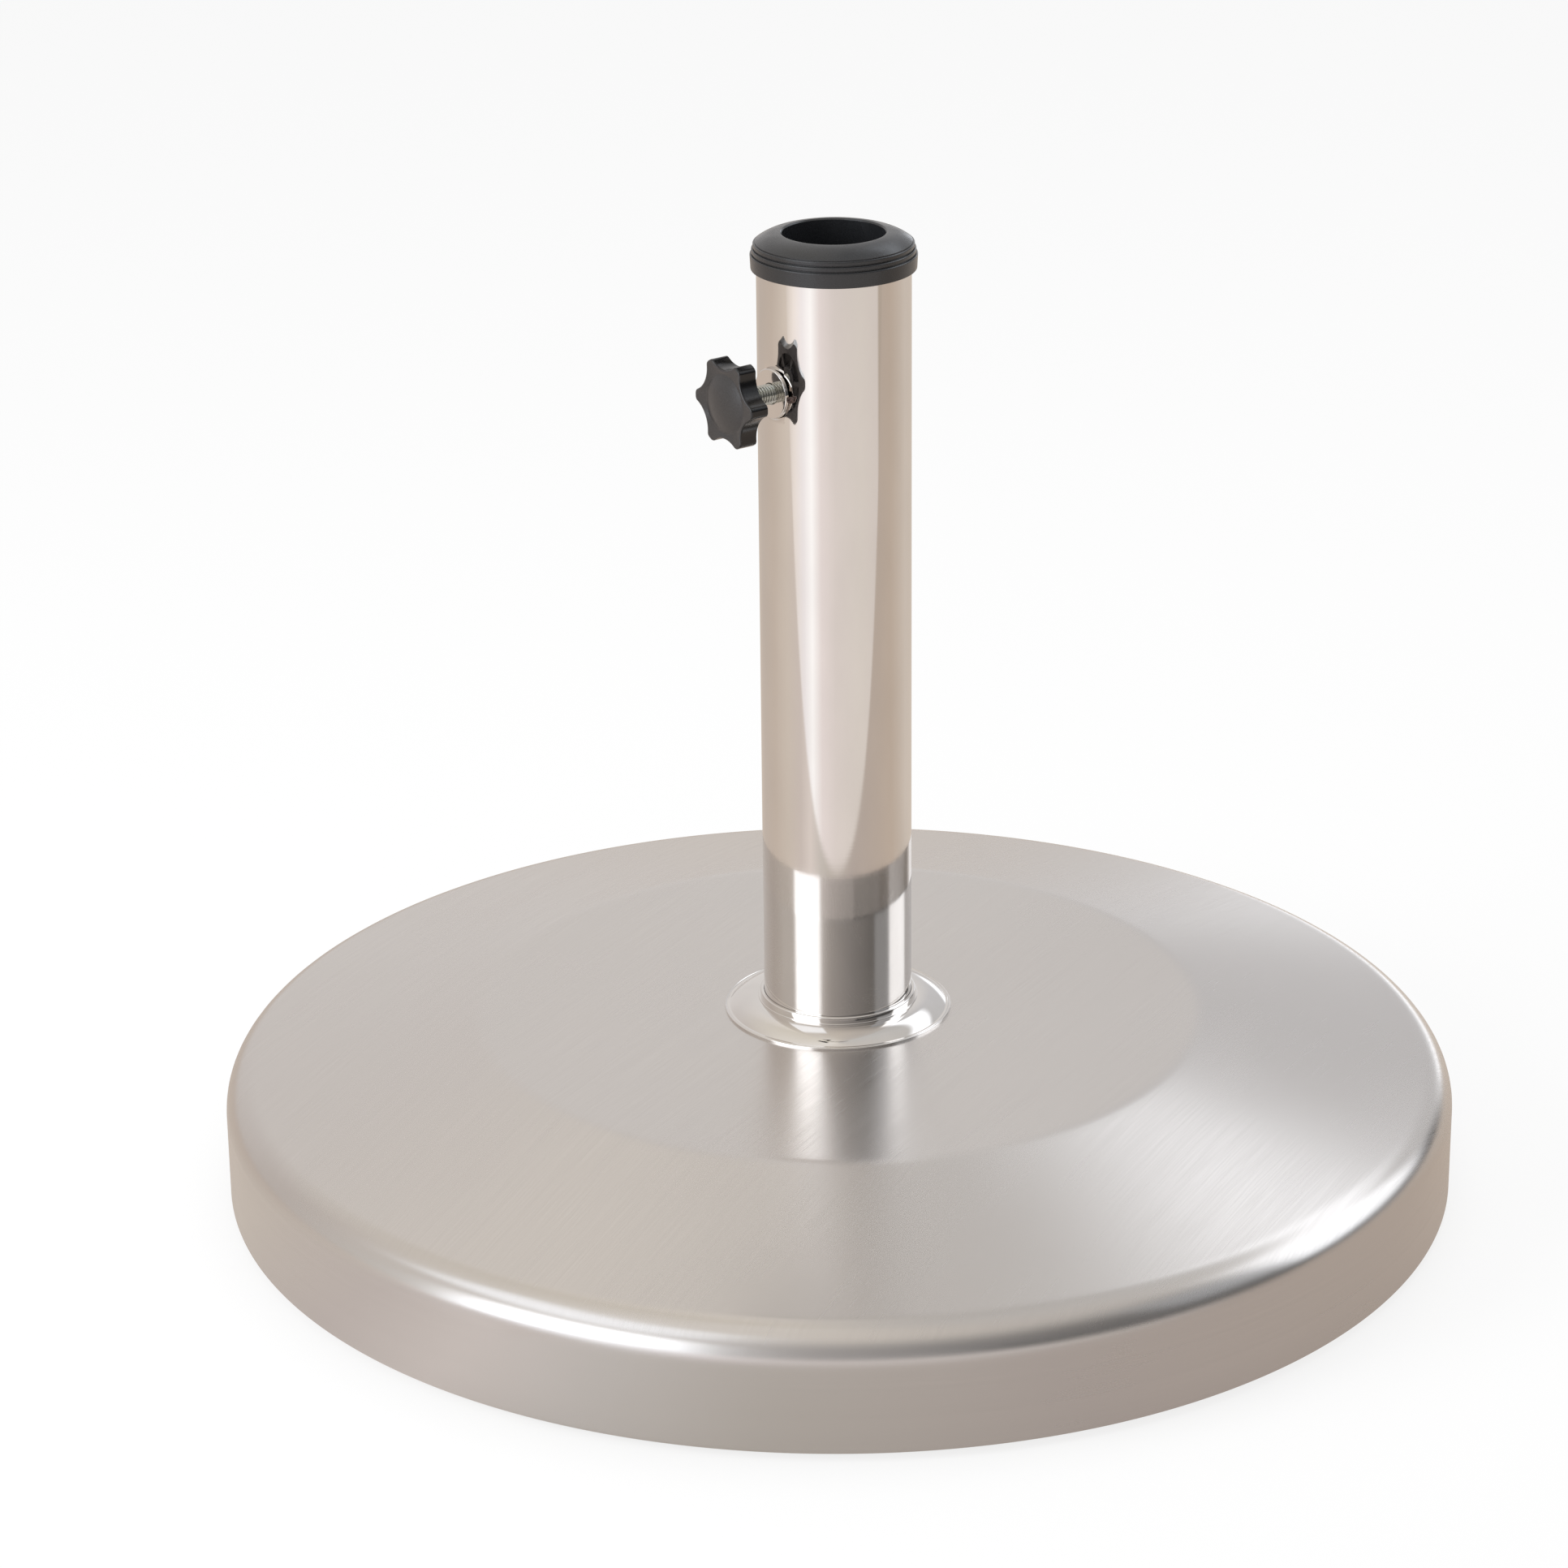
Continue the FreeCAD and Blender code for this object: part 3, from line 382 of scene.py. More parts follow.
def vary(tree, surface, source, base, spread, tone, amount):
    """Roughness base plus or minus spread, and colour darkened by amount, both with a noise."""
    rough = fade(tree, source, 0.25, 0.75, base - spread, base + spread)
    coat(tree, surface, blend(tree, fade(tree, source, 0.2, 0.8), tone, times(tone, 1 - amount)), rough)


def brushed_steel(tone):
    """Sheet brushed in straight strokes that lean off the Y axis, its skirt brushed round the rim.

    Fine strokes, broader passes and the skirt's bands set the roughness and a slight wear.
    """
    material, tree, surface, whole = new_material("brushed_steel", Metallic=0.94, Anisotropic=0.45)
    lean = math.radians(23)
    place = add_node(tree, "VectorRotate", (("Vector", whole), ("Angle", -lean)),
                     rotation_type="Z_AXIS").outputs[0]
    strokes = noise(tree, place, (0.6 * MM, 35 * MM, 1.0), detail=3, roughness=0.6)
    passes = noise(tree, place, (2.5 * MM, 120 * MM, 1.0), detail=3)
    bands = noise(tree, place, (4.0, 4.0, 2.2 * MM), detail=3)
    cloud = noise(tree, place, (70 * MM, 110 * MM, 60 * MM), detail=2)
    facing = add_node(tree, "NewGeometry").outputs["Normal"]
    top = fade(tree, split(tree, facing)["Z"], 0.15, 0.75)
    grain = add_node(tree, "VectorMath", ((0, facing), (1, (-math.sin(lean), math.cos(lean), 0))),
                     operation="CROSS_PRODUCT").outputs[0]
    tree.links.new(grain, surface.inputs["Tangent"])
    marks = weigh(tree, strokes, 0.7, passes, 0.3)
    faint_bands = fade(tree, bands, 0.0, 1.0, 0.3, 0.7)
    marks = weigh(tree, marks, top, faint_bands, calc(tree, "SUBTRACT", 1.0, top))
    rough = fade(tree, weigh(tree, marks, 0.6, cloud, 0.4), 0.3, 0.7, 0.21, 0.29)
    # Painted reflection tint: the upright skirt's colour is greyed towards its mean, so that the floor it
    # reflects looks cooler than on the top.
    middle = sum(tone[:3]) / 3
    side = tuple(0.4 * part + 0.6 * middle for part in tone[:3]) + (1.0,)
    sheet = blend(tree, top, side, tone)
    worn = add_node(tree, "VectorMath", ((0, sheet), ("Scale", 0.968)), operation="SCALE").outputs[0]
    coat(tree, surface, blend(tree, fade(tree, marks, 0.3, 0.7), sheet, worn), rough)
    roughen(tree, surface, marks, 0.0010 * MM, 0.5)
    return material


def polished_steel(tone):
    """Bright tube finish with faint polishing rings and handling haze."""
    material, tree, surface, place = new_material("polished_steel", Metallic=1.0)
    rings = noise(tree, place, (0.05, 0.05, 0.5 * MM), detail=3)
    haze = noise(tree, place, (14 * MM, 14 * MM, 40 * MM), detail=4)
    vary(tree, surface, haze, 0.055, 0.02, tone, 0.05)
    roughen(tree, surface, rings, 0.004 * MM, 0.35)
    return material


def worn_metal(name, tone, roughness, grain):
    """Plain metal with fine mottling."""
    material, tree, surface, place = new_material(name, Metallic=1.0)
    mottle = noise(tree, place, (grain,) * 3, detail=5)
    vary(tree, surface, mottle, roughness, roughness * 0.35, tone, 0.22)
    roughen(tree, surface, mottle, 0.03 * MM, 0.4)
    return material


def moulded(name, tone, roughness, grain, depth):
    """Moulded plastic or rubber with a fine grained skin and faint flow marks."""
    material, tree, surface, place = new_material(name, Specular_IOR_Level=0.65)
    skin_grain = noise(tree, place, (grain,) * 3, detail=3, roughness=0.6)
    flow = noise(tree, place, (9 * MM, 9 * MM, 22 * MM), detail=2)
    rough = fade(tree, flow, 0.3, 0.7, roughness - 0.05, roughness + 0.06)
    coat(tree, surface, blend(tree, fade(tree, skin_grain, 0.3, 0.75), tone, times(tone, 1.6)), rough)
    roughen(tree, surface, skin_grain, depth, 0.6)
    return material


def knob_plastic(tone):
    """Moulded knob: glossy black flanks darkened further as painted shade, a grained grey front, and a back
    and hollow made paler as painted light.

    A flank faces away from the screw: its place across the screw, times its normal, is large.
    """
    material, tree, surface, place = new_material("knob_plastic", Specular_IOR_Level=0.6)
    normal = split(tree, add_node(tree, "TexCoord").outputs["Normal"])
    spot = split(tree, place)
    along = calc(tree, "ABSOLUTE", normal["Y"])
    face = fade(tree, along, 0.70, 0.93)
    rear = fade(tree, normal["Y"], 0.70, 0.93)
    outward = calc(tree, "MULTIPLY", calc(tree, "SUBTRACT", spot["Z"], CLAMP_HEIGHT), normal["Z"])
    outward = calc(tree, "MULTIPLY_ADD", spot["X"], normal["X"], outward)
    flank = fade(tree, outward, 6.8 * MM, 7.8 * MM)
    grain = noise(tree, place, (0.3 * MM,) * 3, detail=3, roughness=0.6)
    dull = blend(tree, fade(tree, grain, 0.35, 0.7), tone, times(tone, 1.7))
    # Painted light and shade: the flanks' colour is darkened to a fifth as painted shade, and the back and
    # hollow are lightened to 3.2 times as painted light.
    painted_flank_shade, painted_light = times(tone, 0.2), times(tone, 3.2)
    shade = blend(tree, rear, blend(tree, face, blend(tree, flank, painted_light, painted_flank_shade), dull), painted_light)
    coat(tree, surface, shade, fade(tree, along, 0.80, 0.98, 0.12, 0.32))
    roughen(tree, surface, grain, 0.05 * MM, 0.5)
    return material


def cast_concrete(tone):
    """Cast slab with sand, stone and pores."""
    material, tree, surface, place = new_material("concrete", Roughness=0.9)
    sand = noise(tree, place, (1.2 * MM,) * 3, detail=6, roughness=0.7)
    stones = add_node(tree, "TexVoronoi", (("Vector", place), ("Scale", 130.0)), feature="F1").outputs[0]
    pores = add_node(tree, "TexVoronoi", (("Vector", place), ("Scale", 420.0)), feature="F1").outputs[0]
    shade = blend(tree, fade(tree, sand, 0.3, 0.7), tone, times(tone, 0.6))
    tree.links.new(blend(tree, fade(tree, stones, 0.1, 0.5, 0.5, 0.0), shade, grey(0.5)),
                   surface.inputs["Base Color"])
    roughen(tree, surface, calc(tree, "ADD", sand, fade(tree, pores, 0.1, 0.3)), 0.6 * MM, 1.0)
    return material


# Finish: its colour's name, what makes it, roughness, size of its grain and depth of its grain.
FINISHES = {
    "brushed_steel": ("brushed", brushed_steel),
    "polished_steel": ("polished", polished_steel),
    "zinc_steel": ("zinc", worn_metal, 0.24, 0.9 * MM),
    "raw_steel": ("raw", worn_metal, 0.5, 2.5 * MM),
    "weld_steel": ("weld", worn_metal, 0.42, 1.1 * MM),
    "cap_plastic": ("cap", moulded, 0.24, 0.35 * MM, 0.06 * MM),
    "knob_plastic": ("knob", knob_plastic),
    "black_plastic": ("tray", moulded, 0.5, 0.6 * MM, 0.08 * MM),
    "foot_rubber": ("rubber", moulded, 0.7, 0.5 * MM, 0.08 * MM),
    "nylon": ("nylon", moulded, 0.4, 0.4 * MM, 0.02 * MM),
    "concrete": ("concrete", cast_concrete),
}


def finish(name):
    """The material of that name, made on first use."""
    found = bpy.data.materials.get(name + "_finish")
    if found:
        return found
    colour_name, maker, *details = FINISHES[name]
    tone = (*getattr(bpy.context.scene.parasol_finish, colour_name), 1.0)
    if maker in (worn_metal, moulded):
        return maker(name, tone, *details)
    return maker(tone)


# Pieces ------------------------------

class PARASOL_OT_cover(bpy.types.Operator):
    """Pressed cover: one sheet turned about the tube's axis, from flat centre to folded hem"""
    bl_idname = "parasol.cover"
    bl_label = "Steel cover"

    def execute(self, context):
        sizes = context.scene.parasol_cover
        rim, top, low, sheet = COVER_HIGH.x, COVER_HIGH.z, COVER_LOW.z, sizes.sheet
        fall = math.tan(sizes.slope)
        inner_rim = rim - sheet
        inner_drop = sheet / math.cos(sizes.slope)
        inner_dish = sizes.dish_radius - sheet * math.tan(sizes.slope / 2)
        profile = outline([
            (sizes.passage, top),
            (sizes.dish_radius, top, sizes.crease_bend),
            (rim, top - (rim - sizes.dish_radius) * fall, sizes.shoulder_bend),
            (rim, low, sizes.hem_bend),
            (rim - sizes.hem, low),
            (rim - sizes.hem, low + sheet),
            (inner_rim, low + sheet, sizes.hem_bend - sheet),
            (inner_rim, top - (inner_rim - sizes.dish_radius) * fall - inner_drop,
             sizes.shoulder_bend - sheet),
            (inner_dish, top - sheet, sizes.crease_bend - sheet),
            (sizes.passage, top - sheet),
        ])
        add_piece("steel_cover", [skin(turned(profile, 480))], "base", "brushed_steel", "base_cover")
        return {"FINISHED"}


class PARASOL_OT_tube(bpy.types.Operator):
    """Polished tube: a ring-shaped section drawn up the Z axis, drilled for the clamp nut"""
    bl_idname = "parasol.tube"
    bl_label = "Polished tube"

    def execute(self, context):
        sizes = context.scene.parasol_post
        outside, inside = TUBE_HIGH.x, TUBE_HIGH.x - sizes.wall
        reach = 2 * sizes.barrel_radius
        end_band = 5 * MM
        bands = [TUBE_LOW.z + end_band, CLAMP_HEIGHT - reach, CLAMP_HEIGHT + reach, TUBE_HIGH.z - end_band]
        profile = outline([
            (outside, TUBE_LOW.z, sizes.edge), *[(outside, height) for height in bands],
            (outside, TUBE_HIGH.z, sizes.edge), (inside, TUBE_HIGH.z, sizes.edge),
            *[(inside, height) for height in reversed(bands)], (inside, TUBE_LOW.z, sizes.edge),
        ])
        tube = add_piece("polished_tube", [skin(turned(profile, 360))], "base", "polished_steel", "pole_tube")
        hole_radius = sizes.barrel_radius + sizes.barrel_fit
        plug = outline([(0, 0), (hole_radius, 0), (hole_radius, outside), (0, outside)])
        points, faces = skin(turned(plug, 72))
        drill = add_piece("drill", [(stand_out(points, 0), faces)], "base", "polished_steel")
        hole = tube.modifiers.new("BarrelHole", "BOOLEAN")
        hole.object = drill
        hole.operation = "DIFFERENCE"
        drilled = bpy.data.meshes.new_from_object(tube.evaluated_get(context.evaluated_depsgraph_get()))
        tube.modifiers.clear()
        tube.data = drilled
        drilled.name = "polished_tube"
        bpy.data.objects.remove(drill)
        return {"FINISHED"}


class PARASOL_OT_rosette(bpy.types.Operator):
    """Pressed ring: lip with a fine bead, hollow flank as an arc, step and neck, turned about Z"""
    bl_idname = "parasol.rosette"
    bl_label = "Rosette"

    def execute(self, context):
        sizes = context.scene.parasol_post
        rim, foot, top = ROSETTE_HIGH.x, ROSETTE_LOW.z, ROSETTE_HIGH.z
        bore = TUBE_HIGH.x + sizes.ring_fit
        neck = bore + sizes.neck_wall
        shelf = neck + sizes.shelf
        inner_lip = rim - sizes.lip
        face = foot + sizes.ring_sheet
        flank_top = face + sizes.rise
        under_top = flank_top - 1.2 * MM
        rounding, bead_end = 0.3 * MM, 1.1 * MM
        reach = inner_lip - shelf
        flank = (reach ** 2 + sizes.rise ** 2) / (2 * sizes.rise)
        bead = curve((rim - rounding, face), (rim - bead_end, face), sizes.bead, 7)
        hollow = curve((inner_lip, face), (shelf, flank_top), -flank, 20)
        shoulder = outline([
            (shelf, flank_top - 0.05 * MM), (shelf, flank_top + sizes.step, 0.25 * MM),
            (neck, flank_top + sizes.step), (neck, top, 0.6 * MM), (bore, top),
        ])
        under = curve((bore + 0.4 * MM, under_top), (inner_lip, foot), flank, 12)
        edge = outline([(rim, foot), (rim, face, rounding), (rim - 2 * rounding, face)])[:-1]
        profile = np.vstack([edge, bead, hollow, shoulder, [[bore, under_top]], under])
        add_piece("pressed_rosette", [skin(turned(profile, 300))], "base", "polished_steel", "rosette")
        return {"FINISHED"}


class PARASOL_OT_cap(bpy.types.Operator):
    """Moulded cap: dome, two beads and a band over a guide sleeve and a plug, turned about Z, with ribs"""
    bl_idname = "parasol.cap"
    bl_label = "Top cap"

    def execute(self, context):
        sizes = context.scene.parasol_cap
        post = context.scene.parasol_post
        outside, mouth = TUBE_HIGH.x, TUBE_HIGH.z
        dome, bead = outside + sizes.dome_overhang, outside + sizes.bead_overhang
        second, band = bead + sizes.bead_step, bead + 2 * sizes.bead_step
        groove, soft, softer = sizes.groove, sizes.rounding, sizes.rounding * 1.6
        levels = mouth + sizes.dome_edge - np.cumsum([0, groove, sizes.bead, groove, sizes.bead, groove])
        band_low = mouth - sizes.band_drop
        plug = outside - post.wall - sizes.fit
        inner_plug = plug - sizes.plug_wall
        plug_low = mouth - sizes.plug_length
        sleeve = sizes.bore + sizes.sleeve_wall
        roof, end = mouth + 2 * MM, 0.4 * MM
        top = curve((sizes.bore + 0.8 * MM, CAP_HIGH.z - 0.02 * MM), (dome, levels[0]), sizes.dome_bend, 24)
        rest = outline([
            (dome, levels[1]),
            (bead, levels[1], softer), (bead, levels[2], soft), (bead - groove, levels[2]),
            (bead - groove, levels[3]), (second, levels[3], softer), (second, levels[4], soft),
            (second - groove, levels[4]), (second - groove, levels[5]),
            (band, levels[5], softer), (band - 0.3 * MM, band_low, 0.35 * MM),
            (outside + sizes.fit, band_low), (outside + sizes.fit, mouth), (plug, mouth),
            (plug, plug_low, end), (inner_plug, plug_low, end),
            (inner_plug, roof, 0.6 * MM), (sleeve, roof, 0.6 * MM),
            (sleeve, CAP_LOW.z, end), (sizes.bore, CAP_LOW.z, end),
            (sizes.bore, CAP_HIGH.z - 0.6 * MM, 0.3 * MM), (sizes.bore + 0.5 * MM, CAP_HIGH.z - 0.06 * MM),
        ])
        half_rib = 0.8 * MM
        rib_low = (sleeve - 0.5 * MM, -half_rib, plug_low + 2 * MM)
        rib_high = (plug - 0.6 * MM, half_rib, mouth + 2.4 * MM)
        ribs = [slab(rib_low, rib_high, turn) for turn in evenly(sizes.ribs)]
        add_piece("moulded_cap", [skin(turned(np.vstack([top, rest]), 256)), *ribs], "cap",
                  "cap_plastic", "top_cap")
        return {"FINISHED"}


class PARASOL_OT_clamp(bpy.types.Operator):
    """Clamp nut turned about the screw's axis, and the two tacks that weld its flange to the tube"""
    bl_idname = "parasol.clamp"
    bl_label = "Clamp nut"

    def execute(self, context):
        sizes = context.scene.parasol_post
        flange = (NUT_HIGH.x - NUT_LOW.x) / 2
        seat = -NUT_LOW.y - sizes.flange_sheet
        back = -NUT_HIGH.y - seat
        bore, barrel, sheet = sizes.nut_bore, sizes.barrel_radius, sizes.flange_sheet
        profile = outline([
            (bore, back, 0.4 * MM), (barrel, back, 0.3 * MM), (barrel, 0),
            (flange, 0), (flange, sheet, 0.55 * MM), (bore, sheet, 0.5 * MM),
        ])
        points, faces = skin(turned(profile, 128))
        add_piece("clamp_flange", [(stand_out(points, seat), faces)], "base", "polished_steel", "clamp_nut")
        tacks = [self.tack(flange, seat, side) for side in (-1, 1)]
        add_piece("weld_tacks", tacks, "base", "polished_steel", look="weld_steel")
        return {"FINISHED"}

    def tack(self, flange, seat, side):
        """Lumpy ball squashed along the screw's axis, its radius rippled by sines of both angles."""
        latitude = np.linspace(-0.5, 0.5, 14)[:, None] * math.pi
        longitude = evenly(28)[None]
        ripple = 0.13 * np.sin(3 * longitude + 2 * latitude) + 0.08 * np.sin(5 * longitude - 1)
        radius = 1.35 * MM * (1 + ripple)
        across = side * (flange + 0.35 * MM) + radius * np.cos(latitude) * np.cos(longitude)
        up = -0.6 * MM + radius * np.cos(latitude) * np.sin(longitude)
        forward = -0.7 * MM + 0.9 * radius * np.sin(latitude)
        points, faces = skin(np.stack([across, up, forward], axis=2), closed=False)
        return stand_out(points, seat), faces


class PARASOL_OT_knob(bpy.types.Operator):
    """Star knob: rings that follow the star, then circles over the domed front and the hollow back"""
    bl_idname = "parasol.knob"
    bl_label = "Star knob"

    def star(self, sizes, tip):
        """Angle and radius of the star over one turn.

        From a lobe's middle outwards, the radius is the circle through the tips, then the far
        side of the tip's corner circle, then the near side of the flute's circle.
        """
        step = math.pi / sizes.lobes
        flute_reach = sizes.root + sizes.flute
        corner_reach = tip - sizes.tip
        gap = sizes.tip + sizes.flute
        away = math.acos((flute_reach ** 2 + corner_reach ** 2 - gap ** 2) / (2 * flute_reach * corner_reach))
        lean = step - away
        corner = corner_reach * np.array([math.cos(lean), math.sin(lean)])
        flute = flute_reach * np.array([math.cos(step), math.sin(step)])
        touch = corner + (flute - corner) * sizes.tip / gap
        turn = math.atan2(touch[1], touch[0])
        angle = np.concatenate([np.linspace(0, lean, 4)[:-1], np.linspace(lean, turn, 12)[:-1],
                                np.linspace(turn, step, 18)])
        at_corner = angle - lean
        at_flute = step - angle
        corner_side = corner_reach * np.cos(at_corner) + np.sqrt(
            np.maximum(sizes.tip ** 2 - (corner_reach * np.sin(at_corner)) ** 2, 0))
        flute_side = flute_reach * np.cos(at_flute) - np.sqrt(
            np.maximum(sizes.flute ** 2 - (flute_reach * np.sin(at_flute)) ** 2, 0))
        radius = np.where(angle < lean, tip, np.where(angle < turn, corner_side, flute_side))
        lobe_angle = np.concatenate([-angle[:0:-1], angle[:-1]])
        lobe_radius = np.concatenate([radius[:0:-1], radius[:-1]])
        turns = np.arange(sizes.lobes)[:, None] * 2 * step
        return (turns + lobe_angle).ravel(), np.tile(lobe_radius, sizes.lobes)

    def execute(self, context):
        sizes = context.scene.parasol_knob
        angle, radius = self.star(sizes, KNOB_HIGH.x)
        thickness = KNOB_HIGH.y - KNOB_LOW.y - sizes.dome_rise
        around = np.stack([np.cos(angle), np.sin(angle)], axis=1)
        star = around * radius[:, None]
        along = np.roll(star, -1, axis=0) - np.roll(star, 1, axis=0)
        inward = np.stack([-along[:, 1], along[:, 0]], axis=1) / np.linalg.norm(along, axis=1)[:, None]
        depth = thickness - sizes.front_wall
        hollow = sizes.root - sizes.side_wall
        screw = (SCREW_HIGH.x - SCREW_LOW.x) / 2

        def follow(inset, height):
            """Ring inside the star by inset."""
            return np.hstack([star + inward * inset, np.full((len(star), 1), height)])

        def circle(reach, height):
            """Round ring."""
            return np.hstack([around * reach, np.full((len(star), 1), height)])

        quarter = np.linspace(0, math.pi / 2, 8)
        back_edge, edge = 0.25 * MM, sizes.edge
        rings = [follow(back_edge * (1 - math.cos(turn)), back_edge * (1 - math.sin(turn)))
                 for turn in quarter[::-1]]
        rings += [follow(0, back_edge + 0.15 * MM), follow(0, thickness - edge - 0.1 * MM)]
        rings += [follow(edge * (1 - math.cos(turn)), thickness - edge * (1 - math.sin(turn)))
                  for turn in quarter]
        rings += [follow(edge + 0.15 * MM, thickness)]
        foot = thickness - sizes.dish
        rise = sizes.dome_rise + sizes.dish
        ball = (sizes.dome ** 2 + rise ** 2) / (2 * rise)
        reach = np.linspace(sizes.dome, 0, 32)
        height = foot + rise - ball + np.sqrt(ball ** 2 - reach ** 2)
        rings += [circle(sizes.dome + 0.5 * MM, foot)]
        rings += [circle(*pair) for pair in zip(reach, height)]
        bore = screw + 0.02 * MM
        soft, corner = 0.3 * MM, 0.8 * MM
        back = outline([
            (0, depth), (bore, depth), (bore, 0.35 * MM), (screw + 0.4 * MM, 0),
            (sizes.hub, 0, soft), (sizes.hub, depth, corner),
            (hollow, depth, corner), (hollow, 0, soft), (hollow + 0.8 * MM, 0),
        ])
        rings += [circle(*pair) for pair in back]
        points, faces = skin(np.stack(rings))
        half_rib, bite = 0.75 * MM, 0.6 * MM
        rib_low = (sizes.hub - bite, -half_rib, 0.8 * MM)
        rib_high = (hollow + bite, half_rib, depth + bite)
        ribs = [slab(rib_low, rib_high, turn) for turn in evenly(sizes.lobes)]
        parts = [(stand_out(part, -KNOB_HIGH.y), sides) for part, sides in [(points, faces), *ribs]]
        add_piece("star_knob", parts, "knob", "knob_plastic", "knob_head", sharp=40)
        return {"FINISHED"}


class PARASOL_OT_screw(bpy.types.Operator):
    """Clamp screw, and its pad: a bar whose radius follows a V thread along a right-hand helix"""
    bl_idname = "parasol.screw"
    bl_label = "Clamp screw and pad"

    def execute(self, context):
        sizes = context.scene.parasol_knob
        shank = (SCREW_HIGH.x - SCREW_LOW.x) / 2
        start, end = -SCREW_HIGH.y, -SCREW_LOW.y
        spigot, shoulder, chamfer = 2 * MM, 2.4 * MM, 0.9 * MM
        rows_per_turn, columns = 14, 64
        steepness, flat_root = 1.35, 0.12
        rows = round((end - start - shoulder) / sizes.pitch * rows_per_turn)
        along = np.linspace(shoulder, end - start, rows)[:, None]
        angle = evenly(columns)[None]
        phase = (along / sizes.pitch + angle / (2 * math.pi)) % 1
        crest = np.clip((1 - np.abs(2 * phase - 1)) * steepness - flat_root, 0, 1)
        radius = shank - sizes.thread * (1 - crest)
        radius = np.minimum(radius, shank - chamfer + (along - shoulder))
        grid = np.stack([radius * np.cos(angle), radius * np.sin(angle), along + 0 * angle], axis=2)
        tip = turned(outline([(0, 0), (spigot, 0, 0.4 * MM), (spigot, shoulder)]), columns)
        cover = turned(np.array([[0, end - start]]), columns)
        points, faces = skin(np.concatenate([tip, grid, cover]))
        add_piece("clamp_screw", [(stand_out(points, start), faces)], "knob", "zinc_steel",
                  "knob_stud", sharp=50)
        outside = (PAD_HIGH.x - PAD_LOW.x) / 2
        back = PAD_HIGH.y - PAD_LOW.y
        hole = spigot + 0.08 * MM
        pad = outline([
            (0, 0), (outside, 0, 0.6 * MM), (outside, back, 0.3 * MM), (hole, back, 0.2 * MM),
            (hole, back - shoulder), (0, back - shoulder),
        ])
        points, faces = skin(turned(pad, columns))
        add_piece("screw_pad", [(stand_out(points, -PAD_HIGH.y), faces)], "pad", "nylon", "pressure_pad")
        return {"FINISHED"}


class PARASOL_OT_feet(bpy.types.Operator):
    """Rubber feet: a tapered disc with grooved rings and a countersunk hole, turned about its own axis"""
    bl_idname = "parasol.feet"
    bl_label = "Feet"

    def execute(self, context):
        for number, node in enumerate(FOOT_NODES, 1):
            low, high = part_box(node)
            outside = (high.x - low.x) / 2
            hole, head = 2.05 * MM, 4.05 * MM
            depth, wall, width = 0.8 * MM, 0.4 * MM, 2 * MM
            grooves = [corner for edge in (outside - 5 * MM, outside - 9 * MM)
                       for corner in ((edge, 0), (edge - wall, depth), (edge - width + wall, depth),
                                      (edge - width, 0))]
            profile = outline([
                (hole, high.z), (outside, high.z), (outside, 3 * MM, 0.5 * MM),
                (outside - 2 * MM, 0, 0.6 * MM), *grooves,
                (head, 0, 0.3 * MM), (head, 1.2 * MM), (hole, 3.2 * MM),
            ])
            points, faces = skin(turned(profile, 96))
            middle = np.array([(low.x + high.x) / 2, (low.y + high.y) / 2, 0])
            add_piece(f"rubber_foot_{number}", [(points + middle, faces)], "base", "foot_rubber", node)
        return {"FINISHED"}


# Parts inside and under the base, and the finish of each.
HIDDEN = {
    "base_tray": "black_plastic", "ballast": "concrete", "foot_screws": "zinc_steel",
    "anchor_bolt": "zinc_steel", "anchor_spring_washer": "zinc_steel",
    "anchor_washer": "zinc_steel", "anchor_nut": "zinc_steel", "tube_foot_plate": "raw_steel",
}


class PARASOL_OT_inner_parts(bpy.types.Operator):
    """Finishes of the parts inside and under the base, whose shapes stay as packed"""
    bl_idname = "parasol.inner_parts"
    bl_label = "Inner parts"

    def execute(self, context):
        for node, slot in HIDDEN.items():
            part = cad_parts[node]
            part.data.materials.clear()
            part.data.materials.append(finish(slot))
        return {"FINISHED"}


# Stage ------------------------------

# The room that shiny surfaces see: colours by bearing, in degrees to the right of the camera.
# The floor glows with the next two tables to shiny surfaces as painted reflections, lighter and darker by
# bearing; the boards' peak near -35 degrees is a painted strip light.
PAINTED_PAPER = [(-180, (0.66, 0.57, 0.49)), (-141, (0.62, 0.54, 0.48)), (-105, (0.64, 0.55, 0.48)),
         (-77, (0.7, 0.62, 0.55)), (-55, (0.7, 0.62, 0.58)), (-40, (0.82, 0.74, 0.7)),
         (-25, (0.68, 0.63, 0.59)), (-8, (0.59, 0.54, 0.49)), (23, (0.55, 0.48, 0.44)),
         (90, (0.61, 0.51, 0.43)), (128, (0.72, 0.64, 0.57))]
PAINTED_BOARDS = [(-180, (0.65, 0.56, 0.49)), (-75, (0.73, 0.66, 0.6)), (-62, (0.92, 0.85, 0.81)),
          (-48, (0.98, 0.94, 0.96)), (-35, (1.18, 1.17, 1.18)), (-21, (0.94, 0.86, 0.85)),
          (0, (0.85, 0.78, 0.75)), (38, (0.83, 0.77, 0.72)), (66, (0.81, 0.74, 0.7)),
          (69, (0.55, 0.47, 0.4))]
WALLS = [(-180, (0.8, 0.78, 0.77)), (-155, (0.75, 0.72, 0.71)), (-118, (0.62, 0.57, 0.54)),
         (-92, (0.7, 0.66, 0.62)), (-26, (0.7, 0.67, 0.65)), (-10, (0.46, 0.44, 0.43)),
         (20, (0.28, 0.27, 0.27)), (50, (0.155, 0.15, 0.148)), (80, (0.11, 0.108, 0.106)),
         (90, (0.5, 0.5, 0.5)), (140, (0.62, 0.62, 0.63)), (166, (0.65, 0.65, 0.67))]
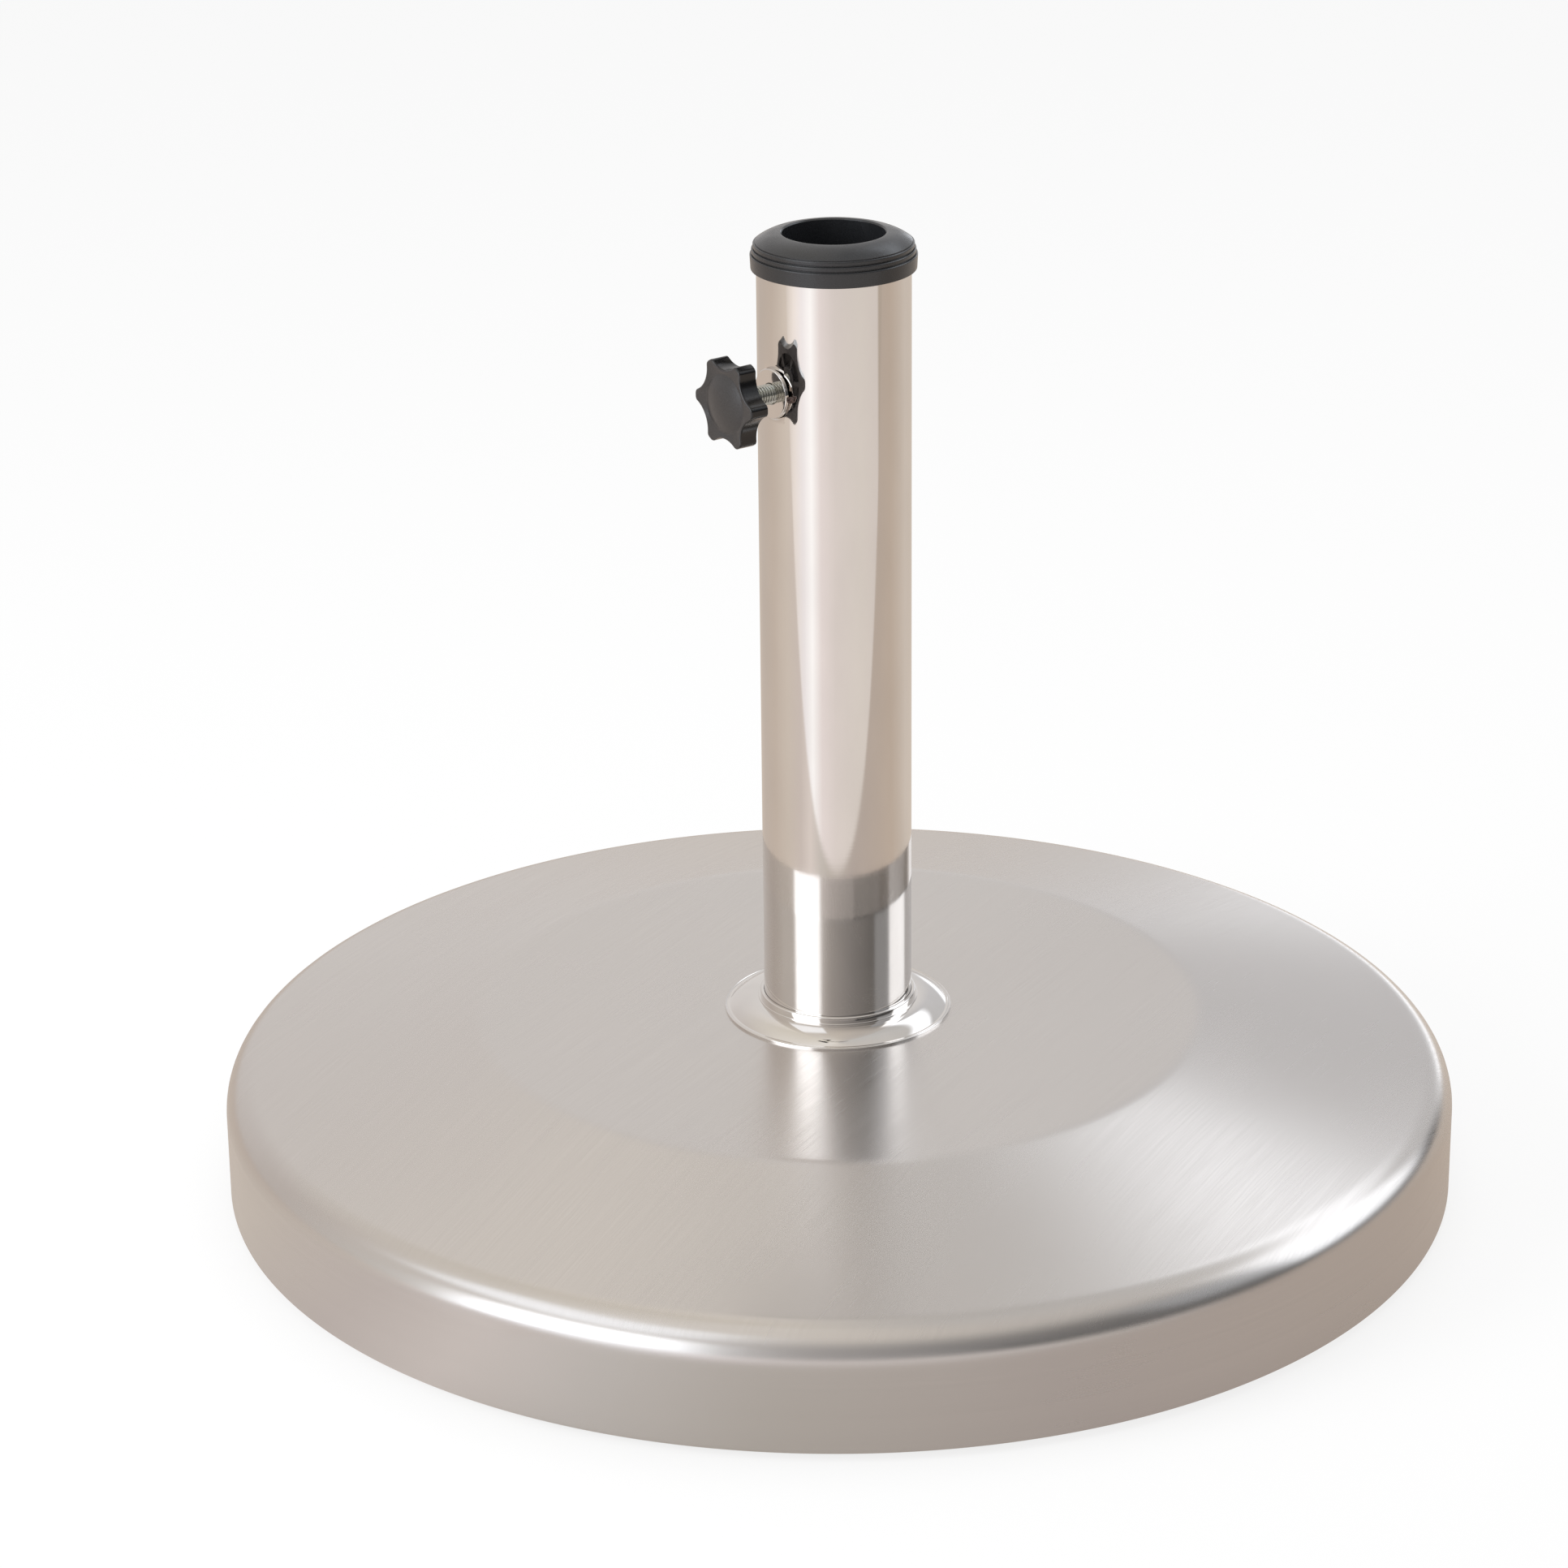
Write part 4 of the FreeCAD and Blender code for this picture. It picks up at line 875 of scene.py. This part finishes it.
CEILING = [(-180, (0.7, 0.67, 0.64)), (-166, (0.94, 0.89, 0.82)), (-150, (0.78, 0.735, 0.66)),
           (-60, (0.9, 0.87, 0.83)), (0, (0.79, 0.75, 0.7)), (50, (0.68, 0.65, 0.62)),
           (140, (0.64, 0.63, 0.62)), (166, (0.55, 0.54, 0.53))]
# Height angles between which the walls pass into the ceiling.
WALLS_END, CEILING_STARTS = 24, 62
# Soft boxes: left and right edge, lower and upper edge in degrees, and level.
SOFT_BOXES = [
    (25, 140, -10, 12, 0.06),
    (60, 88, 18, 44, 0.46),
    (-69, -27, -40, 30, 2.6),
    (-93, -26, 38, 59, 1.45),
    (88, 128, 9, 38, 1.8),
    (94, 164, 34, 48, 1.8),
    (147, 171, -20, 6, 1.9),
]
BOX_COLOUR = (0.96, 1.0, 1.06)
# Half width in degrees of a box's soft edges, at its sides, and at its foot and top.
SIDE_EDGE, END_EDGE = 2.5, 4
# Share of the floor's colour that glows to the camera and in reflections; its shadows stay faint.
FLOOR_GLOW = 0.8
# Half width of the seam between paper and boards.
PAPER_SEAM = 12 * MM
# Plain light for surfaces that aren't shiny.
ROOM_LEVEL = 0.66
# Lamps: name, bearing and height angle in degrees, distance and size in metres, and power in watts.
LAMPS = [("overhead", 150, 80, 1.9, 1.3, 8), ("side_lamp", -62, 28, 1.9, 1.0, 14)]


def from_camera(tree, source, azimuth):
    """Of a place or direction: bearing to the right of the camera in radians, depth away, height."""
    whole = add_node(tree, "VectorRotate", (("Vector", source), ("Angle", -azimuth)),
                     rotation_type="Z_AXIS").outputs[0]
    across, away, up = split(tree, whole)
    return calc(tree, "ARCTAN2", across, calc(tree, "MULTIPLY", away, -1.0)), away, up


def all_round(tree, bearing, stops):
    """Colour by bearing: stops are (degrees, colour), and the first one also closes the turn."""
    stops = [*stops, (180, stops[0][1])]
    ramp = add_node(tree, "ValToRGB", ((0, calc(tree, "MULTIPLY_ADD", bearing, 0.5 / math.pi, 0.5)),))
    band = ramp.color_ramp
    while len(band.elements) < len(stops):
        band.elements.new(0.5)
    for element, (degrees, tone) in zip(band.elements, stops):
        element.position = degrees / 360 + 0.5
        element.color = (*tone, 1.0)
    return ramp.outputs[0]


def window(tree, angle, low, high, edge):
    """1 between two angles in degrees, with soft edges."""
    low_edge = fade(tree, angle, math.radians(low - edge), math.radians(low + edge))
    high_edge = fade(tree, angle, math.radians(high - edge), math.radians(high + edge), 1.0, 0.0)
    return calc(tree, "MULTIPLY", low_edge, high_edge)


class PARASOL_OT_stage(bpy.types.Operator):
    """Pale floor, soft studio light and the camera"""
    bl_idname = "parasol.stage"
    bl_label = "Stage"

    def execute(self, context):
        sizes = context.scene.parasol_stage
        self.floor(sizes)
        self.studio(context.scene, sizes)
        for lamp in LAMPS:
            self.lamp(context.scene, sizes, *lamp)
        self.camera(context.scene, sizes)
        context.scene.view_settings.view_transform = "Standard"
        return {"FINISHED"}

    def floor(self, sizes):
        """Round floor: white to the camera; to reflections it glows with painted colours by bearing, warm
        paper near the front and paler boards beyond, with a painted strip light on the left.
        """
        rim = turned(np.array([[sizes.floor, 0]]), 96)[0]
        mesh = bpy.data.meshes.new("floor")
        mesh.from_pydata(rim.tolist(), [], [list(range(len(rim)))])
        piece = bpy.data.objects.new("floor", mesh)
        bpy.context.scene.collection.objects.link(piece)
        material = bpy.data.materials.new("floor")
        material.use_nodes = True
        tree = material.node_tree
        tree.nodes.clear()
        path = add_node(tree, "LightPath").outputs
        place = add_node(tree, "TexCoord").outputs["Object"]
        bearing, away, _ = from_camera(tree, place, sizes.azimuth)
        # Painted reflections: colours by bearing that the floor glows with to shiny surfaces.
        paper = all_round(tree, bearing, PAINTED_PAPER)
        boards = all_round(tree, bearing, PAINTED_BOARDS)
        beyond = fade(tree, away, -sizes.sweep + PAPER_SEAM, -sizes.sweep - PAPER_SEAM)
        seen = blend(tree, beyond, paper, boards)
        colour_now = blend(tree, path["Is Camera Ray"], seen, grey(1.0))
        spread = add_node(tree, "BsdfDiffuse", (("Color", colour_now),))
        shown = calc(tree, "MAXIMUM", path["Is Camera Ray"],
                     calc(tree, "MAXIMUM", path["Is Glossy Ray"], path["Is Transmission Ray"]))
        glow = add_node(tree, "Emission", (("Color", colour_now),))
        whole = add_node(tree, "MixShader", ((0, calc(tree, "MULTIPLY", shown, FLOOR_GLOW)),
                                             (1, spread.outputs[0]), (2, glow.outputs[0])))
        add_node(tree, "OutputMaterial", ((0, whole.outputs[0]),))
        mesh.materials.append(material)

    def studio(self, scene, sizes):
        """World: plain light for surfaces, white for the camera, and a room by bearing for reflections."""
        world = bpy.data.worlds.new("studio")
        scene.world = world
        world.use_nodes = True
        tree = world.node_tree
        tree.nodes.clear()
        path = add_node(tree, "LightPath").outputs
        direction = add_node(tree, "TexCoord").outputs["Generated"]
        bearing, _, up = from_camera(tree, direction, sizes.azimuth)
        rise = calc(tree, "ARCSINE", up)
        high = fade(tree, rise, math.radians(WALLS_END), math.radians(CEILING_STARTS))
        around = blend(tree, high, all_round(tree, bearing, WALLS), all_round(tree, bearing, CEILING))
        for left, right, low, top, level in SOFT_BOXES:
            inside = calc(tree, "MULTIPLY", window(tree, bearing, left, right, SIDE_EDGE),
                          window(tree, rise, low, top, END_EDGE))
            glow = (*(part * level for part in BOX_COLOUR), 1.0)
            around = blend(tree, inside, around, glow)
        mirror = calc(tree, "MAXIMUM", path["Is Glossy Ray"], path["Is Transmission Ray"])
        lit = blend(tree, mirror, grey(ROOM_LEVEL), around)
        lit = blend(tree, path["Is Camera Ray"], lit, grey(1.0))
        light = add_node(tree, "Background", ((0, lit),))
        add_node(tree, "OutputWorld", ((0, light.outputs[0]),))

    def lamp(self, scene, sizes, name, bearing, rise, reach, size, energy):
        """Soft round lamp aimed at the tube's foot, and hidden from reflections."""
        light = bpy.data.lights.new(name, "AREA")
        light.shape = "DISK"
        light.size = size
        light.energy = energy
        piece = bpy.data.objects.new(name, light)
        turn, up = sizes.azimuth + math.radians(bearing), math.radians(rise)
        aim = Vector((math.sin(turn) * math.cos(up), -math.cos(turn) * math.cos(up), math.sin(up)))
        piece.location = aim * reach
        piece.rotation_euler = aim.to_track_quat("Z", "Y").to_euler()
        piece.visible_glossy = False
        scene.collection.objects.link(piece)

    def camera(self, scene, sizes):
        """Camera on its bearing, turned down, left and round its own line of sight."""
        lens = bpy.data.cameras.new("camera")
        lens.lens = sizes.lens
        lens.sensor_width = 36
        eye = bpy.data.objects.new("camera", lens)
        across, back = math.sin(sizes.azimuth), -math.cos(sizes.azimuth)
        eye.location = (sizes.reach * across, sizes.reach * back, sizes.height)
        aim = (Matrix.Rotation(sizes.azimuth + sizes.pan, 3, "Z")
               @ Matrix.Rotation(math.pi / 2 - sizes.tilt, 3, "X") @ Matrix.Rotation(sizes.roll, 3, "Z"))
        eye.rotation_euler = aim.to_euler()
        scene.collection.objects.link(eye)
        scene.camera = eye


STEPS = (PARASOL_OT_stage, PARASOL_OT_cover, PARASOL_OT_tube, PARASOL_OT_rosette, PARASOL_OT_cap,
         PARASOL_OT_clamp, PARASOL_OT_knob, PARASOL_OT_screw, PARASOL_OT_feet, PARASOL_OT_inner_parts)


class PARASOL_PT_panel(bpy.types.Panel):
    """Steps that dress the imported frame, in order"""
    bl_idname = "PARASOL_PT_panel"
    bl_label = "Parasol base"
    bl_space_type = "VIEW_3D"
    bl_region_type = "UI"
    bl_category = "Parasol base"

    def draw(self, context):
        for step in STEPS:
            self.layout.operator(step.bl_idname)


def register():
    """Register the sizes, the steps and the panel."""
    for name, group in GROUPS.items():
        bpy.utils.register_class(group)
        setattr(bpy.types.Scene, name, PointerProperty(type=group))
    for step in (*STEPS, PARASOL_PT_panel):
        bpy.utils.register_class(step)


def unregister():
    """Take everything back off."""
    for step in (PARASOL_PT_panel, *reversed(STEPS)):
        bpy.utils.unregister_class(step)
    for name, group in GROUPS.items():
        delattr(bpy.types.Scene, name)
        bpy.utils.unregister_class(group)


def main():
    """Register the sizes and steps, then dress the frame step by step."""
    register()
    for step in STEPS:
        family, name = step.bl_idname.split(".")
        getattr(getattr(bpy.ops, family), name)()


if __name__ == "__main__":
    main()
